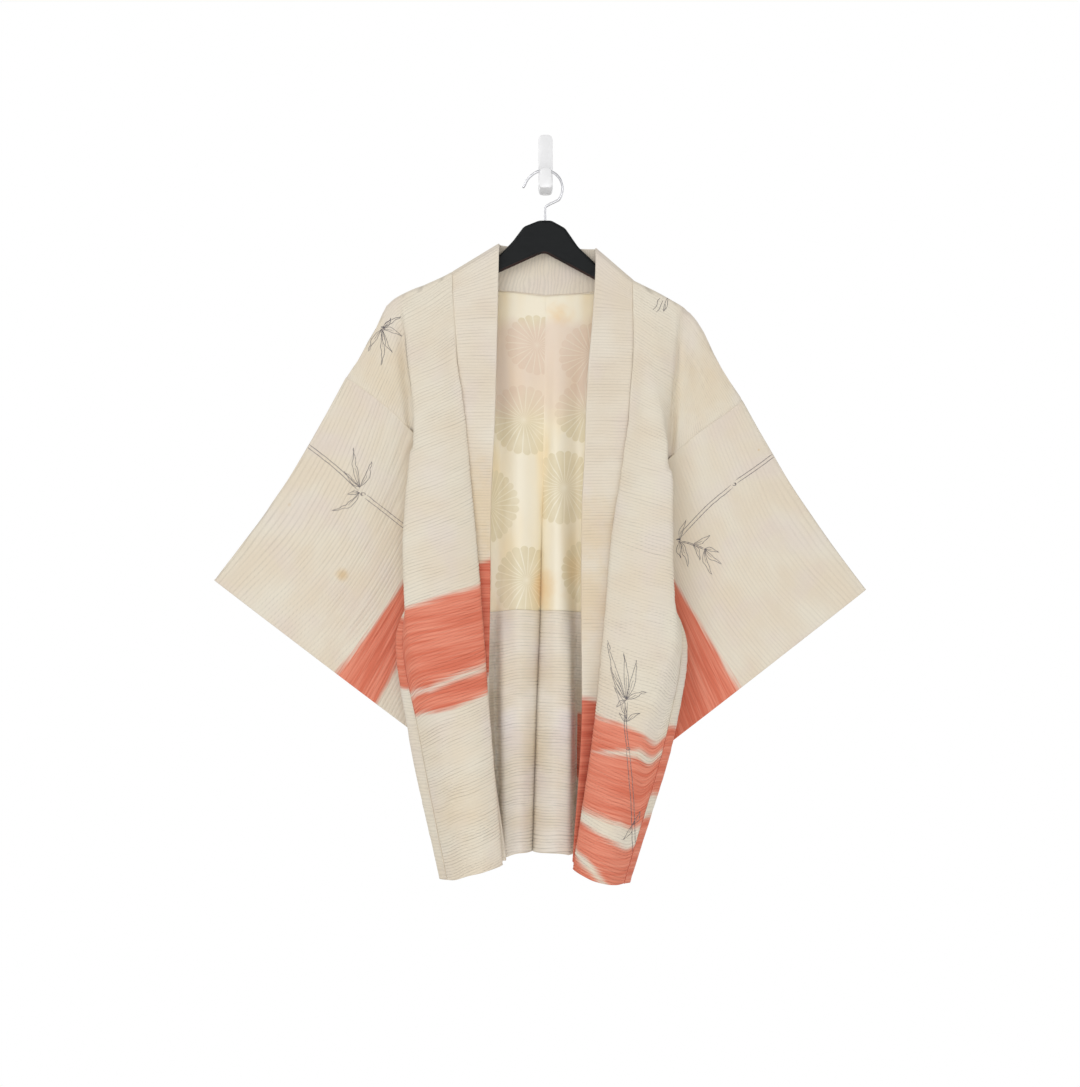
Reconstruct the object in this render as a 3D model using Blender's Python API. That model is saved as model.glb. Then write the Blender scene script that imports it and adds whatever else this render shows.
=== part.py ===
"""Haori jacket hanging on a clothes hanger and a wall hook.

The wall is the plane y = 0, the jacket hangs in front of it towards -Y, and
the origin is the middle of the wall hook's flat back. Sizes in the tables are
millimetres: "out" is the distance from the centre plane towards the side,
"fwd" the distance from the wall, and z the height. "right" and "left" are the
wearer's, so the right half lies at -X.

Every body section is a row of a table: its columns are the fold lines that run
down the cloth, and its first number is how far down the cloth it lies.
"""
import math

import bmesh
import bpy
import numpy as np

MM = 0.001

# Walls and seams
CLOTH = 1.2                 # crepe panels
LINING = 1.0                # figured silk
COLLAR = 2.4                # the collar is a doubled band
SEAM_GAP = 0.3              # between pieces that are sewn together
NECK_CLEARANCE = 2.2        # where the collar turns over the shoulder
LAP_SLACK = 0.1
LAPPED = COLLAR / 2 + CLOTH / 2 + SEAM_GAP + LAP_SLACK     # fronts lie on the collar's edge
LAID_ON = CLOTH / 2 + LINING / 2 + SEAM_GAP         # lining and turn-up on the back

UNDERARM_GAP = 0.7          # where three pieces meet at the underarm,
UNDERARM_ROWS = 3           # over this many rows
GUSSET_TOP = 1.0            # how far the gusset's point is drawn in
TURN_UP_HEM = 0.5           # how far the turn-up's fold stays above the back's hem
UNDERARM_LAP = 2.0          # the front lies over the sleeve towards the underarm,
LAP_DROPS = (124, 199)      # growing between these drops

# Lengths down the cloth
FULL_DROP = 802.0           # shoulder to hem
ARMHOLE_DROP = 232.0        # shoulder to underarm
LINING_SHARE = 0.552        # how far down the back the lining reaches

LINING_TOP = 6.0            # how far below the shoulder the lining starts

# Grid density
FLANK_STEPS = 3             # points from one fold line to the next
DROPS = (0, 10, 40, 83, 124, 165, 199, 232, 247, 262, 303, 344, 399, 454, 522, 591, 660, 731, 802)
GUSSET_DROPS = tuple(d for d in DROPS if d >= ARMHOLE_DROP)

SIDES = {"right": -1, "left": 1}
RIDGE_FWD = 29.0            # the fold over the hanger
# The fold from the collar over the hanger's arm and down to the sleeve, (out, z)
RIDGE = {
    "right": ((128.6, -151), (153, -163), (192, -179), (208, -188), (219, -198), (226, -212),
              (241, -247), (273, -294)),
    "left": ((120.3, -162), (130, -167), (163, -183.5), (194, -203), (203, -212), (213, -226),
             (220, -239), (239, -279), (270, -326)),
}

# Collar: drop, folded edge (out, fwd), sewn edge (out, fwd)
COLLAR_FRONT = {
    "right": ((0, (64, 40), (128, 38)), (10, (64.5, 42), (128, 39)), (83, (66, 50), (123, 43)),
              (165, (68, 55), (119, 47)), (232, (70, 58), (122, 52)), (262, (71.5, 59), (125, 54)),
              (344, (75, 62), (131, 60)), (454, (76, 66), (133, 70)), (591, (78, 78), (134, 82)),
              (802, (54, 92), (108, 98))),
    "left": ((0, (69, 40), (120, 38)), (10, (69, 42), (120, 39)), (83, (65, 50), (121, 43)),
             (165, (58, 55), (115, 47)), (232, (55, 58), (112, 52)), (262, (54, 59), (111, 54)),
             (344, (50, 62), (109, 60)), (454, (49, 66), (108, 71)), (591, (50, 78), (107, 82)),
             (802, (37, 92), (90, 98))),
}
# Folded edge's height at the ridge, at drop 0 and at the hem, then its distance out at the ridge
COLLAR_EDGE = {"right": (-112, -119, -953, 64), "left": (-118, -126, -955, 69)}
# Folded edge behind the neck: share of the way from the ridge to the centre, out, z, fwd
COLLAR_BEHIND = {
    "right": ((0.08, 63.5, -112.5, 21), (0.25, 59, -113.5, 18.5), (0.5, 45, -115, 17), (1, 0, -117, 17)),
    "left": ((0.08, 68.5, -118.5, 21), (0.25, 63, -118.5, 18.5), (0.5, 48, -118, 17), (1, 0, -117, 17)),
}

# Front panel: drop, then turn, face, crest and valley as (out, fwd)
FRONT_FOLDS = {
    "right": ((0, (136, 40), (163, 40), (195, 40), (211, 40)),
              (10, (136, 42), (163, 42), (195, 43), (210, 41)),
              (83, (128, 47), (155, 51), (191, 51), (180, 42)),
              (165, (115, 53), (150, 60), (181, 60), (164, 43)),
              (232, (107, 59), (147, 72), (186, 70), (146, 44)),
              (262, (104, 62), (146, 77), (189, 73), (148, 46)),
              (344, (96, 69), (144, 86), (194, 80), (160, 54)),
              (454, (87, 79), (138, 95), (187, 89), (193, 80)),
              (591, (77, 91), (110, 107), (143, 103), (162, 92)),
              (802, (59, 108), (83, 126), (106, 121), (122, 109))),
    "left": ((0, (126, 40), (138, 40), (152, 40), (189, 40)),
             (10, (127, 42), (139, 42), (152, 43), (188, 41)),
             (83, (125, 47), (137, 54), (149, 55), (187, 42)),
             (165, (118, 51), (137, 64), (160, 65), (168, 43)),
             (232, (108, 59), (140, 74), (171, 72), (146, 44)),
             (262, (104, 62), (139, 78), (173, 75), (145, 46)),
             (344, (91, 69), (136, 88), (173, 83), (141, 55)),
             (454, (81, 80), (128, 97), (174, 91), (184, 80)),
             (591, (68, 92), (103, 109), (134, 105), (152, 92)),
             (802, (38, 108), (58, 127), (78, 122), (95, 109))),
}
# Heights of seam, turn, face, crest and valley: at drop 0 and at the hem
FRONT_HEIGHTS = {
    "right": ((-157, -160, -174, -187, -197), (-955, -957, -966, -972, -978)),
    "left": ((-168, -171, -177, -184, -207), (-958, -962, -975, -982, -985)),
}

# Back panel: drop, then centre, fold 1, valley 1, fold 2, valley 2, fold 3 and end as (out, fwd)
BACK_FOLDS = {
    "right": ((0, (0, 18), (35, 18), (67, 18), (97, 19), (129, 20), (166, 20), (212, 20)),
              (10, (0, 18.3), (35, 18.6), (67, 18.3), (97, 19), (129, 18.5), (166, 18.5), (209, 19)),
              (83, (1, 20), (35, 24), (66, 20), (97, 23), (126, 19), (158, 22), (188, 20)),
              (165, (2, 22), (35, 30), (65, 22), (92, 32), (112, 20), (134, 30), (150, 20)),
              (232, (3, 24), (35, 37), (62, 24), (79, 42), (93, 21), (104, 36), (118, 22.5)),
              (262, (3, 27), (35, 40), (63, 27), (80, 45), (94, 23), (105, 40), (118, 25)),
              (344, (5, 33), (36, 48), (65, 33), (90, 50), (109, 27), (126, 50), (136, 34)),
              (454, (7, 44), (37, 58), (64, 40), (99, 56), (131, 33), (148, 60), (163, 40)),
              (591, (12, 54), (39, 66), (63, 44), (95, 66), (123, 35), (139, 66), (147, 43)),
              (802, (18, 60), (39, 71), (59, 46), (79, 76), (96, 36), (109, 72), (120, 46))),
    "left": ((0, (0, 18), (17, 18), (45, 18), (82, 19), (121, 20), (151, 20), (190, 20)),
             (10, (0, 18.3), (17, 18.6), (45, 18.3), (82, 19), (121, 18.5), (151, 18.5), (188, 19)),
             (83, (-1, 20), (16, 24), (45, 20), (81, 23), (118, 19), (146, 22), (176, 20)),
             (165, (-2, 22), (16, 30), (45, 22), (80, 32), (108, 20), (132, 30), (148, 20)),
             (232, (-3, 24), (15, 37), (45, 24), (70, 42), (88, 21), (102, 36), (117, 22.5)),
             (262, (-3, 27), (15, 40), (45, 26), (71, 45), (90, 23), (103, 40), (117, 25)),
             (344, (-5, 33), (16, 48), (45, 29), (78, 50), (105, 27), (121, 50), (132, 34)),
             (454, (-7, 44), (17, 58), (45, 32), (77, 56), (111, 33), (134, 60), (152, 40)),
             (591, (-12, 54), (18, 66), (45, 33), (74, 66), (102, 35), (122, 66), (135, 43)),
             (802, (-18, 60), (17, 71), (43, 34), (58, 74), (72, 36), (83, 70), (91, 46))),
}
# Heights of the same fold lines: at drop 0 and at the hem
BACK_HEIGHTS = {
    "right": ((-184, -180, -177, -176, -158, -174, -197), (-946, -946, -953, -956, -962, -966, -970)),
    "left": ((-184, -183, -181.5, -179, -168, -184, -207), (-946, -946, -951, -956, -962, -968, -973)),
}
# Neck edge of the back panel from the centre to fold 2, (z, fwd); from valley 2 it is the ridge
BACK_NECK = {
    "right": ((-181, 18), (-177, 18), (-174, 18), (-171, 18.5)),
    "left": ((-181, 18), (-180, 18), (-178.5, 18), (-175, 18.5)),
}
NECK_TURN = 3.0             # how late the neck edge climbs to the ridge, as a power

# Armhole and side seams: drop, out, z, then fwd on the front and on the back. Ridge is drop -1.
SIDE_SEAM = {
    "right": ((-1, 273, -294, 29, 29), (0, 272, -297, 32, 26), (10, 266, -301, 34, 24),
              (83, 213.6, -340.3, 37, 23), (165, 161.4, -395.2, 37, 22), (232, 128.5, -446, 36, 24),
              (262, 128, -476, 40, 28)),
    "left": ((-1, 270, -326, 29, 29), (0, 269, -329, 32, 26), (10, 263, -334, 34, 24),
             (83, 212, -370.5, 37, 23), (165, 160, -417, 37, 22), (232, 129.8, -453, 36, 24),
             (262, 128.5, -483, 40, 28)),
}
# Gusset: drop, z, then front seam, outer fold and back seam as (out, fwd)
GUSSET_FOLDS = {
    "right": ((232, -446, (128.5, 36), (123, 30), (128.5, 24)),
              (262, -476, (128, 40), (124, 34), (127, 28)),
              (344, -553, (155.5, 50), (158, 45), (145, 38)),
              (454, -655, (194, 74), (204, 64), (172, 46)),
              (591, -777.5, (173.4, 82), (187.4, 70), (153, 50)),
              (802, -979, (133.5, 98), (144, 82), (128, 54))),
    "left": ((232, -453, (129.8, 36), (124, 30), (129.8, 24)),
             (262, -483, (128.5, 40), (124.5, 34), (127.5, 28)),
             (344, -560, (150, 50), (153, 45), (141, 38)),
             (454, -667, (184.4, 74), (193, 64), (164, 46)),
             (591, -768, (167.8, 82), (178.4, 70), (147, 50)),
             (802, -984, (106, 98), (114.5, 82), (98, 54))),
}

# Sleeve corners (out, z): shoulder, cuff top, cuff bottom, body bottom
SLEEVE_CORNERS = {
    "right": ((273, -294), (455, -574), (90, -853), (12, -645)),
    "left": ((270, -326), (440, -587), (78, -871), (12, -660)),
}
SLEEVE_SAG = {"right": 9.0, "left": 7.0}     # how far the top fold sags
UNDERARM_SHARE = 0.47                        # armhole over sleeve drop, 230 / 490
FREE_EDGE = (0.56, 2.5, -32)                 # share down, out and z from the underarm
# Share down the sleeve, then middle surface fwd and half gap at body, mid and cuff
SLEEVE_DEPTH = ((0, (29, 30, 33), (3, 3, 3)), (0.17, (30, 30, 33), (7, 5, 5)),
                (0.33, (29.5, 29, 32), (7.5, 5, 5)), (0.47, (30, 27, 31), (6, 5, 4.5)),
                (0.56, (15, 22, 29), (5, 4.5, 4)), (0.75, (10.5, 12, 22), (4, 4, 2.5)),
                (1, (9, 9, 12), (1.2, 1.2, 1.2)))
SLEEVE_BELOW = (0.515, 0.56, 0.65, 0.75, 0.87, 1)      # rows below the underarm
FOLD_SHARE = 0.035          # the top fold opens to its full gap within this share
MID_SLEEVE = 0.35
SLEEVE_OUT = (0, 0.1, 0.22, 0.35, 0.5, 0.66, 0.83, 1)

# Hanger: half outlines from the neck to the arm's end, (out, z)
HANGER_FWD = (25.0, 35.0)
HANGER_TOP = {"right": ((9, -79.5), (30, -88), (45, -108), (62, -126), (96, -149), (128, -164),
                        (150, -168.5), (166, -173), (198, -188.5)),
              "left": ((8, -79.5), (27, -90), (45, -116), (68, -138), (96, -160), (120, -175),
                       (150, -183), (184, -203))}
HANGER_LOW = {"right": ((6, -125), (62, -150), (128, -181), (194, -211), (206, -204), (206, -195)),
              "left": ((0, -124.5), (68, -161), (120, -188), (180, -222), (190, -216), (190, -209))}
HANGER_ROUND = 2.0          # rounding of its edges,
ROUND_SEGMENTS = 2          # in this many flats
FLAT_FACE = 0.9             # a face whose normal runs this much along Y is a front or back

# Hanger hook: round wire
WIRE = 3.6
HOOK_FWD = 29.5
HOOK_TOP = (-1.5, -10.2)    # middle of the wire over the wall hook (x, z)
HOOK_RADIUS = 25.0
STEM = ((-0.5, -79.2), (-0.5, -66.0), (0.5, -60.0))     # straight foot below the bend (x, z)
BEND = range(-40, 175, 12)  # degrees round the bend, from the foot to the tip
WIRE_FLATS = 2              # roundness of the wire

# Wall hook
PLATE = (20.0, 3.5, 84.0)   # width, thickness, height
SEAT_REACH = PLATE[0] / 2 - HOOK_TOP[0]
SEAT_Z = (HOOK_TOP[1] - HOOK_RADIUS - SEAM_GAP
          + math.sqrt((HOOK_RADIUS - WIRE / 2) ** 2 - SEAT_REACH ** 2))
WIRE_SLACK = 0.8            # between the wire and the lip
LIP_FWD = HOOK_FWD + WIRE / 2 + WIRE_SLACK
LIP = 4.0                   # thickness of the lip,
LIP_RISE = 8.0              # how far it stands above the seat,
LIP_DROP = 12.0             # and how far it goes below it
CHIN = (6.0, 20.0)          # the jaw's lower corner: in from the lip's face, below the seat
JAW_FOOT = 26.0             # where the jaw meets the plate, below the seat

COLOURS = {                 # colour, roughness, metallic
    "crepe": ((0.78, 0.69, 0.57, 1), 0.75, 0.0),
    "lining": ((0.86, 0.78, 0.60, 1), 0.55, 0.0),
    "satin_black": ((0.012, 0.012, 0.014, 1), 0.45, 0.0),
    "steel": ((0.62, 0.62, 0.63, 1), 0.25, 1.0),
    "pale_plastic": ((0.85, 0.86, 0.87, 1), 0.3, 0.0),
}


def clear_scene():
    for item in list(bpy.data.objects):
        bpy.data.objects.remove(item, do_unlink=True)


def finish_object(obj, finish):
    colour, roughness, metallic = COLOURS[finish]
    material = bpy.data.materials.new(obj.name + "_finish")
    material.use_nodes = True
    shader = material.node_tree.nodes["Principled BSDF"]
    shader.inputs["Base Color"].default_value = colour
    shader.inputs["Roughness"].default_value = roughness
    shader.inputs["Metallic"].default_value = metallic
    obj.data.materials.append(material)


def add_mesh(name, bm, finish):
    bmesh.ops.recalc_face_normals(bm, faces=bm.faces)
    mesh = bpy.data.meshes.new(name)
    bm.to_mesh(mesh)
    bm.free()
    obj = bpy.data.objects.new(name, mesh)
    bpy.context.scene.collection.objects.link(obj)
    finish_object(obj, finish)
    return obj


def down_columns(drops, values, wanted):
    """Read table columns at other drops with a smooth curve that doesn't overshoot."""
    drops = np.asarray(drops, float)
    values = np.asarray(values, float)
    steps = np.diff(drops).reshape((-1,) + (1,) * (values.ndim - 1))
    slopes = np.diff(values, axis=0) / steps
    tangents = np.zeros_like(values)
    tangents[0], tangents[-1] = slopes[0], slopes[-1]
    before, after = slopes[:-1], slopes[1:]
    same_way = before * after > 0
    total = np.where(same_way, before + after, 1.0)
    tangents[1:-1] = np.where(same_way, 2 * before * after / total, 0.0)
    out = []
    for drop in wanted:
        i = int(np.clip(np.searchsorted(drops, drop) - 1, 0, len(drops) - 2))
        step = drops[i + 1] - drops[i]
        t = (drop - drops[i]) / step
        out.append((2 * t**3 - 3 * t**2 + 1) * values[i] + (t**3 - 2 * t**2 + t) * step * tangents[i]
                   + (3 * t**2 - 2 * t**3) * values[i + 1] + (t**3 - t**2) * step * tangents[i + 1])
    return np.array(out)


def across(points, before=None, after=None, steps=FLANK_STEPS):
    """A smooth curve through one section's fold lines, with the neighbours' points at its ends."""
    points = np.asarray(points, float)
    first = 2 * points[0] - points[1] if before is None else np.asarray(before, float)
    last = 2 * points[-1] - points[-2] if after is None else np.asarray(after, float)
    ring = np.vstack([first, points, last])
    out = []
    for i in range(1, len(ring) - 2):
        p0, p1, p2, p3 = ring[i - 1:i + 3]
        chord = np.linalg.norm(p2 - p1)
        t1 = (p2 - p0) * chord / (np.linalg.norm(p1 - p0) + chord + 1e-9)
        t2 = (p3 - p1) * chord / (np.linalg.norm(p3 - p2) + chord + 1e-9)
        for k in range(steps):
            t = k / steps
            out.append((2 * t**3 - 3 * t**2 + 1) * p1 + (t**3 - 2 * t**2 + t) * t1
                       + (3 * t**2 - 2 * t**3) * p2 + (t**3 - t**2) * t2)
    out.append(points[-1])
    return np.array(out)


def heights(side, table, drops):
    """Heights of the fold lines at each drop."""
    top, hem = (np.array(row, float) for row in table[side])
    return np.array([top + (hem - top) * drop / FULL_DROP for drop in drops])


def ridge_height(side, out):
    return np.interp(out, *zip(*RIDGE[side]))


def side_line(side, which):
    """The armhole seam and the side seam as one line: ridge, then each drop."""
    armhole = [(row[0], row[1], row[3 + which], row[2]) for row in SIDE_SEAM[side]]
    low = [(row[0], row[2 + 2 * which][0], row[2 + 2 * which][1], row[1])
           for row in GUSSET_FOLDS[side] if row[0] > armhole[-1][0]]
    rows = armhole + low
    return down_columns([row[0] for row in rows], [row[1:] for row in rows], (-1,) + DROPS)


def gusset_grid(side):
    """Rows from the underarm to the hem, columns from the front seam to the back seam."""
    rows = GUSSET_FOLDS[side]
    fold = down_columns([row[0] for row in rows], [(row[3][0], row[3][1], row[1]) for row in rows],
                        GUSSET_DROPS)
    first = len(DROPS) + 1 - len(GUSSET_DROPS)
    front, back = side_line(side, 0)[first:], side_line(side, 1)[first:]
    front_next = front_lines(side)[first:, -2]
    back_next = back_lines(side)[first:, -2]
    return np.array([across([f, g, b], before=fn, after=bn)
                     for f, g, b, fn, bn in zip(front, fold, back, front_next, back_next)])


def collar_lines(side, drops):
    """Folded and sewn edge of the collar down the front, (out, fwd, z)."""
    table = COLLAR_FRONT[side]
    pairs = down_columns([row[0] for row in table], [row[1:] for row in table], drops)
    ridge_z, top_z, hem_z, _ = COLLAR_EDGE[side]
    seam_z = heights(side, FRONT_HEIGHTS, drops)[:, 0]
    lines = np.zeros((len(drops), 2, 3))
    lines[:, :, :2] = pairs
    lines[:, 0, 2] = [top_z + (hem_z - top_z) * drop / FULL_DROP for drop in drops]
    lines[:, 1, 2] = seam_z
    return lines


def front_lines(side):
    """Fold lines of a front panel from the collar seam to the side seam, (out, fwd, z)."""
    table = FRONT_FOLDS[side]
    folds = down_columns([row[0] for row in table], [row[1:] for row in table], DROPS)
    seam = collar_lines(side, DROPS)[:, 1, :2] + (0, LAPPED)
    folds = np.concatenate([seam[:, None], folds], axis=1)
    lines = np.concatenate([folds, heights(side, FRONT_HEIGHTS, DROPS)[..., None]], axis=2)
    ridge = lines[:1].copy()
    ridge[..., 1] = RIDGE_FWD
    ridge[..., 2] = ridge_height(side, ridge[..., 0])
    return np.concatenate([np.concatenate([ridge, lines]), side_line(side, 0)[:, None]], axis=1)


def back_lines(side):
    """Fold lines of a back panel from the centre seam to the side seam, (out, fwd, z)."""
    table = BACK_FOLDS[side]
    folds = down_columns([row[0] for row in table], [row[1:] for row in table], DROPS)
    lines = np.concatenate([folds, heights(side, BACK_HEIGHTS, DROPS)[..., None]], axis=2)
    top = lines[:1].copy()
    neck = BACK_NECK[side]
    top[..., 1] = RIDGE_FWD
    top[..., 2] = ridge_height(side, top[..., 0])
    top[0, :len(neck), 1] = [fwd for _, fwd in neck]
    top[0, :len(neck), 2] = [z for z, _ in neck]
    return np.concatenate([np.concatenate([top, lines]), side_line(side, 1)[:, None]], axis=1)


def gusset_fold_at_all(side):
    """The point that a panel's curve heads for beyond its side seam, or None above the underarm."""
    rows = GUSSET_FOLDS[side]
    low = down_columns([row[0] for row in rows], [(row[3][0], row[3][1], row[1]) for row in rows],
                       GUSSET_DROPS)
    return [None] * (len(DROPS) + 1 - len(GUSSET_DROPS)) + list(low)


def front_grid(side):
    ahead = gusset_fold_at_all(side)
    grid = np.array([across(row, after=point) for row, point in zip(front_lines(side), ahead)])
    grid[0, :, 2] = ridge_height(side, grid[0, :, 0])
    return grid


def back_grid(side):
    ahead = gusset_fold_at_all(side)
    rows = []
    for row, point in zip(back_lines(side), ahead):
        mirrored = row[1].copy()
        mirrored[0] = 2 * row[0][0] - row[1][0]
        rows.append(across(row, before=mirrored, after=point))
    grid = np.array(rows)
    climb, ridge = (len(BACK_NECK[side]) - 1) * FLANK_STEPS, len(BACK_NECK[side]) * FLANK_STEPS
    for k in range(climb, ridge):
        share = (k - climb) / FLANK_STEPS
        ends = grid[0, climb], grid[0, ridge]
        grid[0, k, 0] = ends[0][0] + share * (ends[1][0] - ends[0][0])
        grid[0, k, 1:] = ends[0][1:] + share ** NECK_TURN * (ends[1][1:] - ends[0][1:])
    grid[0, ridge:, 1] = RIDGE_FWD
    grid[0, ridge:, 2] = ridge_height(side, grid[0, ridge:, 0])
    return grid


def place(grid, side):
    """From (out, fwd, z) to world (x, y, z)."""
    return np.stack([SIDES[side] * grid[..., 0], -grid[..., 1], grid[..., 2]], axis=-1)


def normals(grid, before=None, after=None):
    """Unit normals of a grid, facing forward on the whole.

    before and after hold the neighbouring piece's next column, so that two pieces share their
    normals along a seam; a row of nan there has no neighbour.
    """
    down = np.gradient(grid, axis=0)
    over = np.gradient(grid, axis=1)
    for column, inner, beyond, way in ((0, 1, before, 1), (-1, -2, after, -1)):
        if beyond is not None:
            joined = ~np.isnan(beyond[:, 0])
            over[joined, column] = way * (grid[joined, inner] - beyond[joined]) / 2
    normal = np.cross(down, over)
    normal /= np.linalg.norm(normal, axis=2, keepdims=True) + 1e-12
    if normal[..., 1].sum() > 0:
        normal = -normal
    return normal


def level_off(normal, rows, cols, axis):
    """Turn chosen normals square to one axis, where a piece meets its mirror image."""
    normal[rows, cols, axis] = 0
    normal[rows, cols] /= np.linalg.norm(normal[rows, cols], axis=-1, keepdims=True)


def trim(grid, top, bottom, first, last):
    """Draw a sheet's edges in by the given lengths."""
    grid = grid.copy()
    for axis, index, length in ((0, 0, top), (0, -1, bottom), (1, 0, first), (1, -1, last)):
        edge = np.take(grid, index, axis=axis)
        inner = np.take(grid, 1 if index == 0 else -2, axis=axis)
        way = inner - edge
        way /= np.linalg.norm(way, axis=1, keepdims=True) + 1e-12
        moved = edge + way * np.reshape(length, (-1, 1))
        if axis == 0:
            grid[index] = moved
        else:
            grid[:, index] = moved
    return grid


def sheet(name, grid, finish, thick=CLOTH, lift=0.0, edges=(0, 0, 0, 0), normal=None):
    """A closed wall of even thickness along a grid of world points in millimetres.

    edges draws in the top, bottom, first and last edge, each by a length or one for each point.
    """
    if normal is None:
        normal = normals(grid)
    grid = trim(grid, *edges)
    outer = (grid + normal * (lift + thick / 2)) * MM
    inner = (grid + normal * (lift - thick / 2)) * MM
    rows, cols = grid.shape[:2]
    bm = bmesh.new()
    near, far = [[[bm.verts.new(layer[r, c]) for c in range(cols)] for r in range(rows)]
                 for layer in (outer, inner)]
    for r in range(rows - 1):
        for c in range(cols - 1):
            bm.faces.new((near[r][c], near[r][c + 1], near[r + 1][c + 1], near[r + 1][c]))
            bm.faces.new((far[r][c], far[r + 1][c], far[r + 1][c + 1], far[r][c + 1]))
    rim = [(0, c) for c in range(cols)] + [(r, cols - 1) for r in range(1, rows)]
    rim += [(rows - 1, c) for c in range(cols - 2, -1, -1)] + [(r, 0) for r in range(rows - 2, 0, -1)]
    for (r1, c1), (r2, c2) in zip(rim, rim[1:] + rim[:1]):
        bm.faces.new((near[r1][c1], far[r1][c1], far[r2][c2], near[r2][c2]))
    bmesh.ops.triangulate(bm, faces=bm.faces)
    return add_mesh(name, bm, finish)


def next_column(grid, column, rows_above):
    """The gusset's next column for a whole panel, with nan above the underarm."""
    return np.vstack([np.full((rows_above, 3), np.nan), grid[:, column]])


def make_body(side):
    half = SEAM_GAP / 2
    front, back, gusset, sleeve = (place(grid(side), side)
                                   for grid in (front_grid, back_grid, gusset_grid, sleeve_grid))
    above = len(front) - len(gusset)
    beyond_front = next_column(gusset, 1, above)
    beyond_back = next_column(gusset, -2, above)
    joined = above + 1
    beyond_front[:above] = sleeve[len(sleeve) // 2::-1][:above, 1]
    beyond_back[:above] = sleeve[len(sleeve) // 2:][:above, 1]

    normal = normals(front, after=beyond_front)
    level_off(normal, 0, slice(None), 1)
    corner = np.full(len(front), half)
    corner[above:above + UNDERARM_ROWS] = UNDERARM_GAP
    sheet("front_" + side, front, "crepe", edges=(half, 0, half, corner), normal=normal)

    normal = normals(back, after=beyond_back)
    ridge = len(BACK_NECK[side]) * FLANK_STEPS
    level_off(normal, 0, slice(ridge, None), 1)
    level_off(normal, slice(None), 0, 0)
    neck_gap = np.full(back.shape[1], half)
    neck_gap[ridge - FLANK_STEPS:ridge + 1] = NECK_CLEARANCE
    sheet("back_" + side, back, "crepe", edges=(neck_gap, 0, half, corner), normal=normal)
    make_inside(side, back, normal)

    normal = normals(gusset, before=front[above:, -2], after=back[above:, -2])
    sheet("gusset_" + side, gusset, "crepe", edges=(GUSSET_TOP, 0, corner[above:], corner[above:]),
          normal=normal)

    beyond = np.full((len(sleeve), 3), np.nan)
    middle = len(sleeve) // 2
    beyond[middle - joined + 1:middle] = front[1:joined, -2][::-1]
    beyond[:middle - DROPS.index(LAP_DROPS[0]) - 1] = np.nan
    beyond[middle + 1:middle + joined] = back[1:joined, -2]
    normal = normals(sleeve, before=beyond)
    sheet("sleeve_" + side, sleeve, "crepe", edges=(0, 0, half, 0), normal=normal)


def make_inside(side, back, normal):
    """The back lining and, below it, the back's turn-up, laid on the back panel."""
    shares = np.array([0, 0] + [drop / FULL_DROP for drop in DROPS[1:]])
    split = int(np.searchsorted(shares, LINING_SHARE))
    near_seam = FLANK_STEPS + 1
    inner, normal = back[:, :-near_seam], normal[:, :-near_seam]
    half = SEAM_GAP / 2
    top = np.full(inner.shape[1], SEAM_GAP)
    top[(len(BACK_NECK[side]) - 1) * FLANK_STEPS:] = LINING_TOP
    sheet("lining_" + side, inner[1:split + 1], "lining", thick=LINING, lift=LAID_ON,
          edges=(top, half, half, 0), normal=normal[1:split + 1])
    sheet("turn_up_" + side, inner[split:], "crepe", thick=LINING, lift=LAID_ON,
          edges=(half, TURN_UP_HEM, half, 0), normal=normal[split:])


def sleeve_rows(side):
    """Share down the sleeve, out and z of each row at the body edge."""
    armhole = side_line(side, 0)[:DROPS.index(ARMHOLE_DROP) + 2]
    steps = np.linalg.norm(np.diff(armhole[:, [0, 2]], axis=0), axis=1)
    shares = np.concatenate([[0], np.cumsum(steps)]) * UNDERARM_SHARE / steps.sum()
    share, out, z = FREE_EDGE
    underarm = armhole[-1, [0, 2]]
    knots = [underarm, underarm + (out, z), SLEEVE_CORNERS[side][3]]
    free = down_columns((UNDERARM_SHARE, share, 1), knots, SLEEVE_BELOW)
    return (np.concatenate([shares, SLEEVE_BELOW]),
            np.concatenate([armhole[:, [0, 2]], free]))


def sleeve_grid(side):
    """Rows round the sleeve from the front's bottom over the top fold to the back's bottom."""
    down, edge = sleeve_rows(side)
    _, cuff_top, cuff_low, _ = (np.array(point, float) for point in SLEEVE_CORNERS[side])
    depth = down_columns([row[0] for row in SLEEVE_DEPTH], [row[1:] for row in SLEEVE_DEPTH], down)
    armhole = side_line(side, 0), side_line(side, 1)
    sewn_rows = DROPS.index(ARMHOLE_DROP) + 2
    along = cuff_top - edge[0]
    inward = np.array([along[1], -along[0]]) / np.linalg.norm(along)
    layers = ([], [])
    for i, share in enumerate(down):
        cuff = cuff_top + share * (cuff_low - cuff_top)
        middle = down_columns((0, MID_SLEEVE, 1), depth[i].T, SLEEVE_OUT)
        opened = min(1.0, math.sqrt(share / FOLD_SHARE))
        for layer, (rows, way) in enumerate(zip(layers, (1, -1))):
            row = []
            for s, (mid, gap) in zip(SLEEVE_OUT, middle):
                sag = SLEEVE_SAG[side] * math.sin(math.pi * s) * (1 - share)
                out, z = edge[i] + s * (cuff - edge[i]) + inward * sag
                row.append((out, mid + way * gap * opened, z))
            if i < sewn_rows:
                row[0] = tuple(armhole[layer][i])
                if way > 0 and i:
                    lap = np.interp(DROPS[i - 1], LAP_DROPS, (0, UNDERARM_LAP))
                    row[0] = (row[0][0], row[0][1] - lap, row[0][2])
            rows.append(row)
    return np.array(layers[0][::-1] + layers[1][1:])


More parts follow.
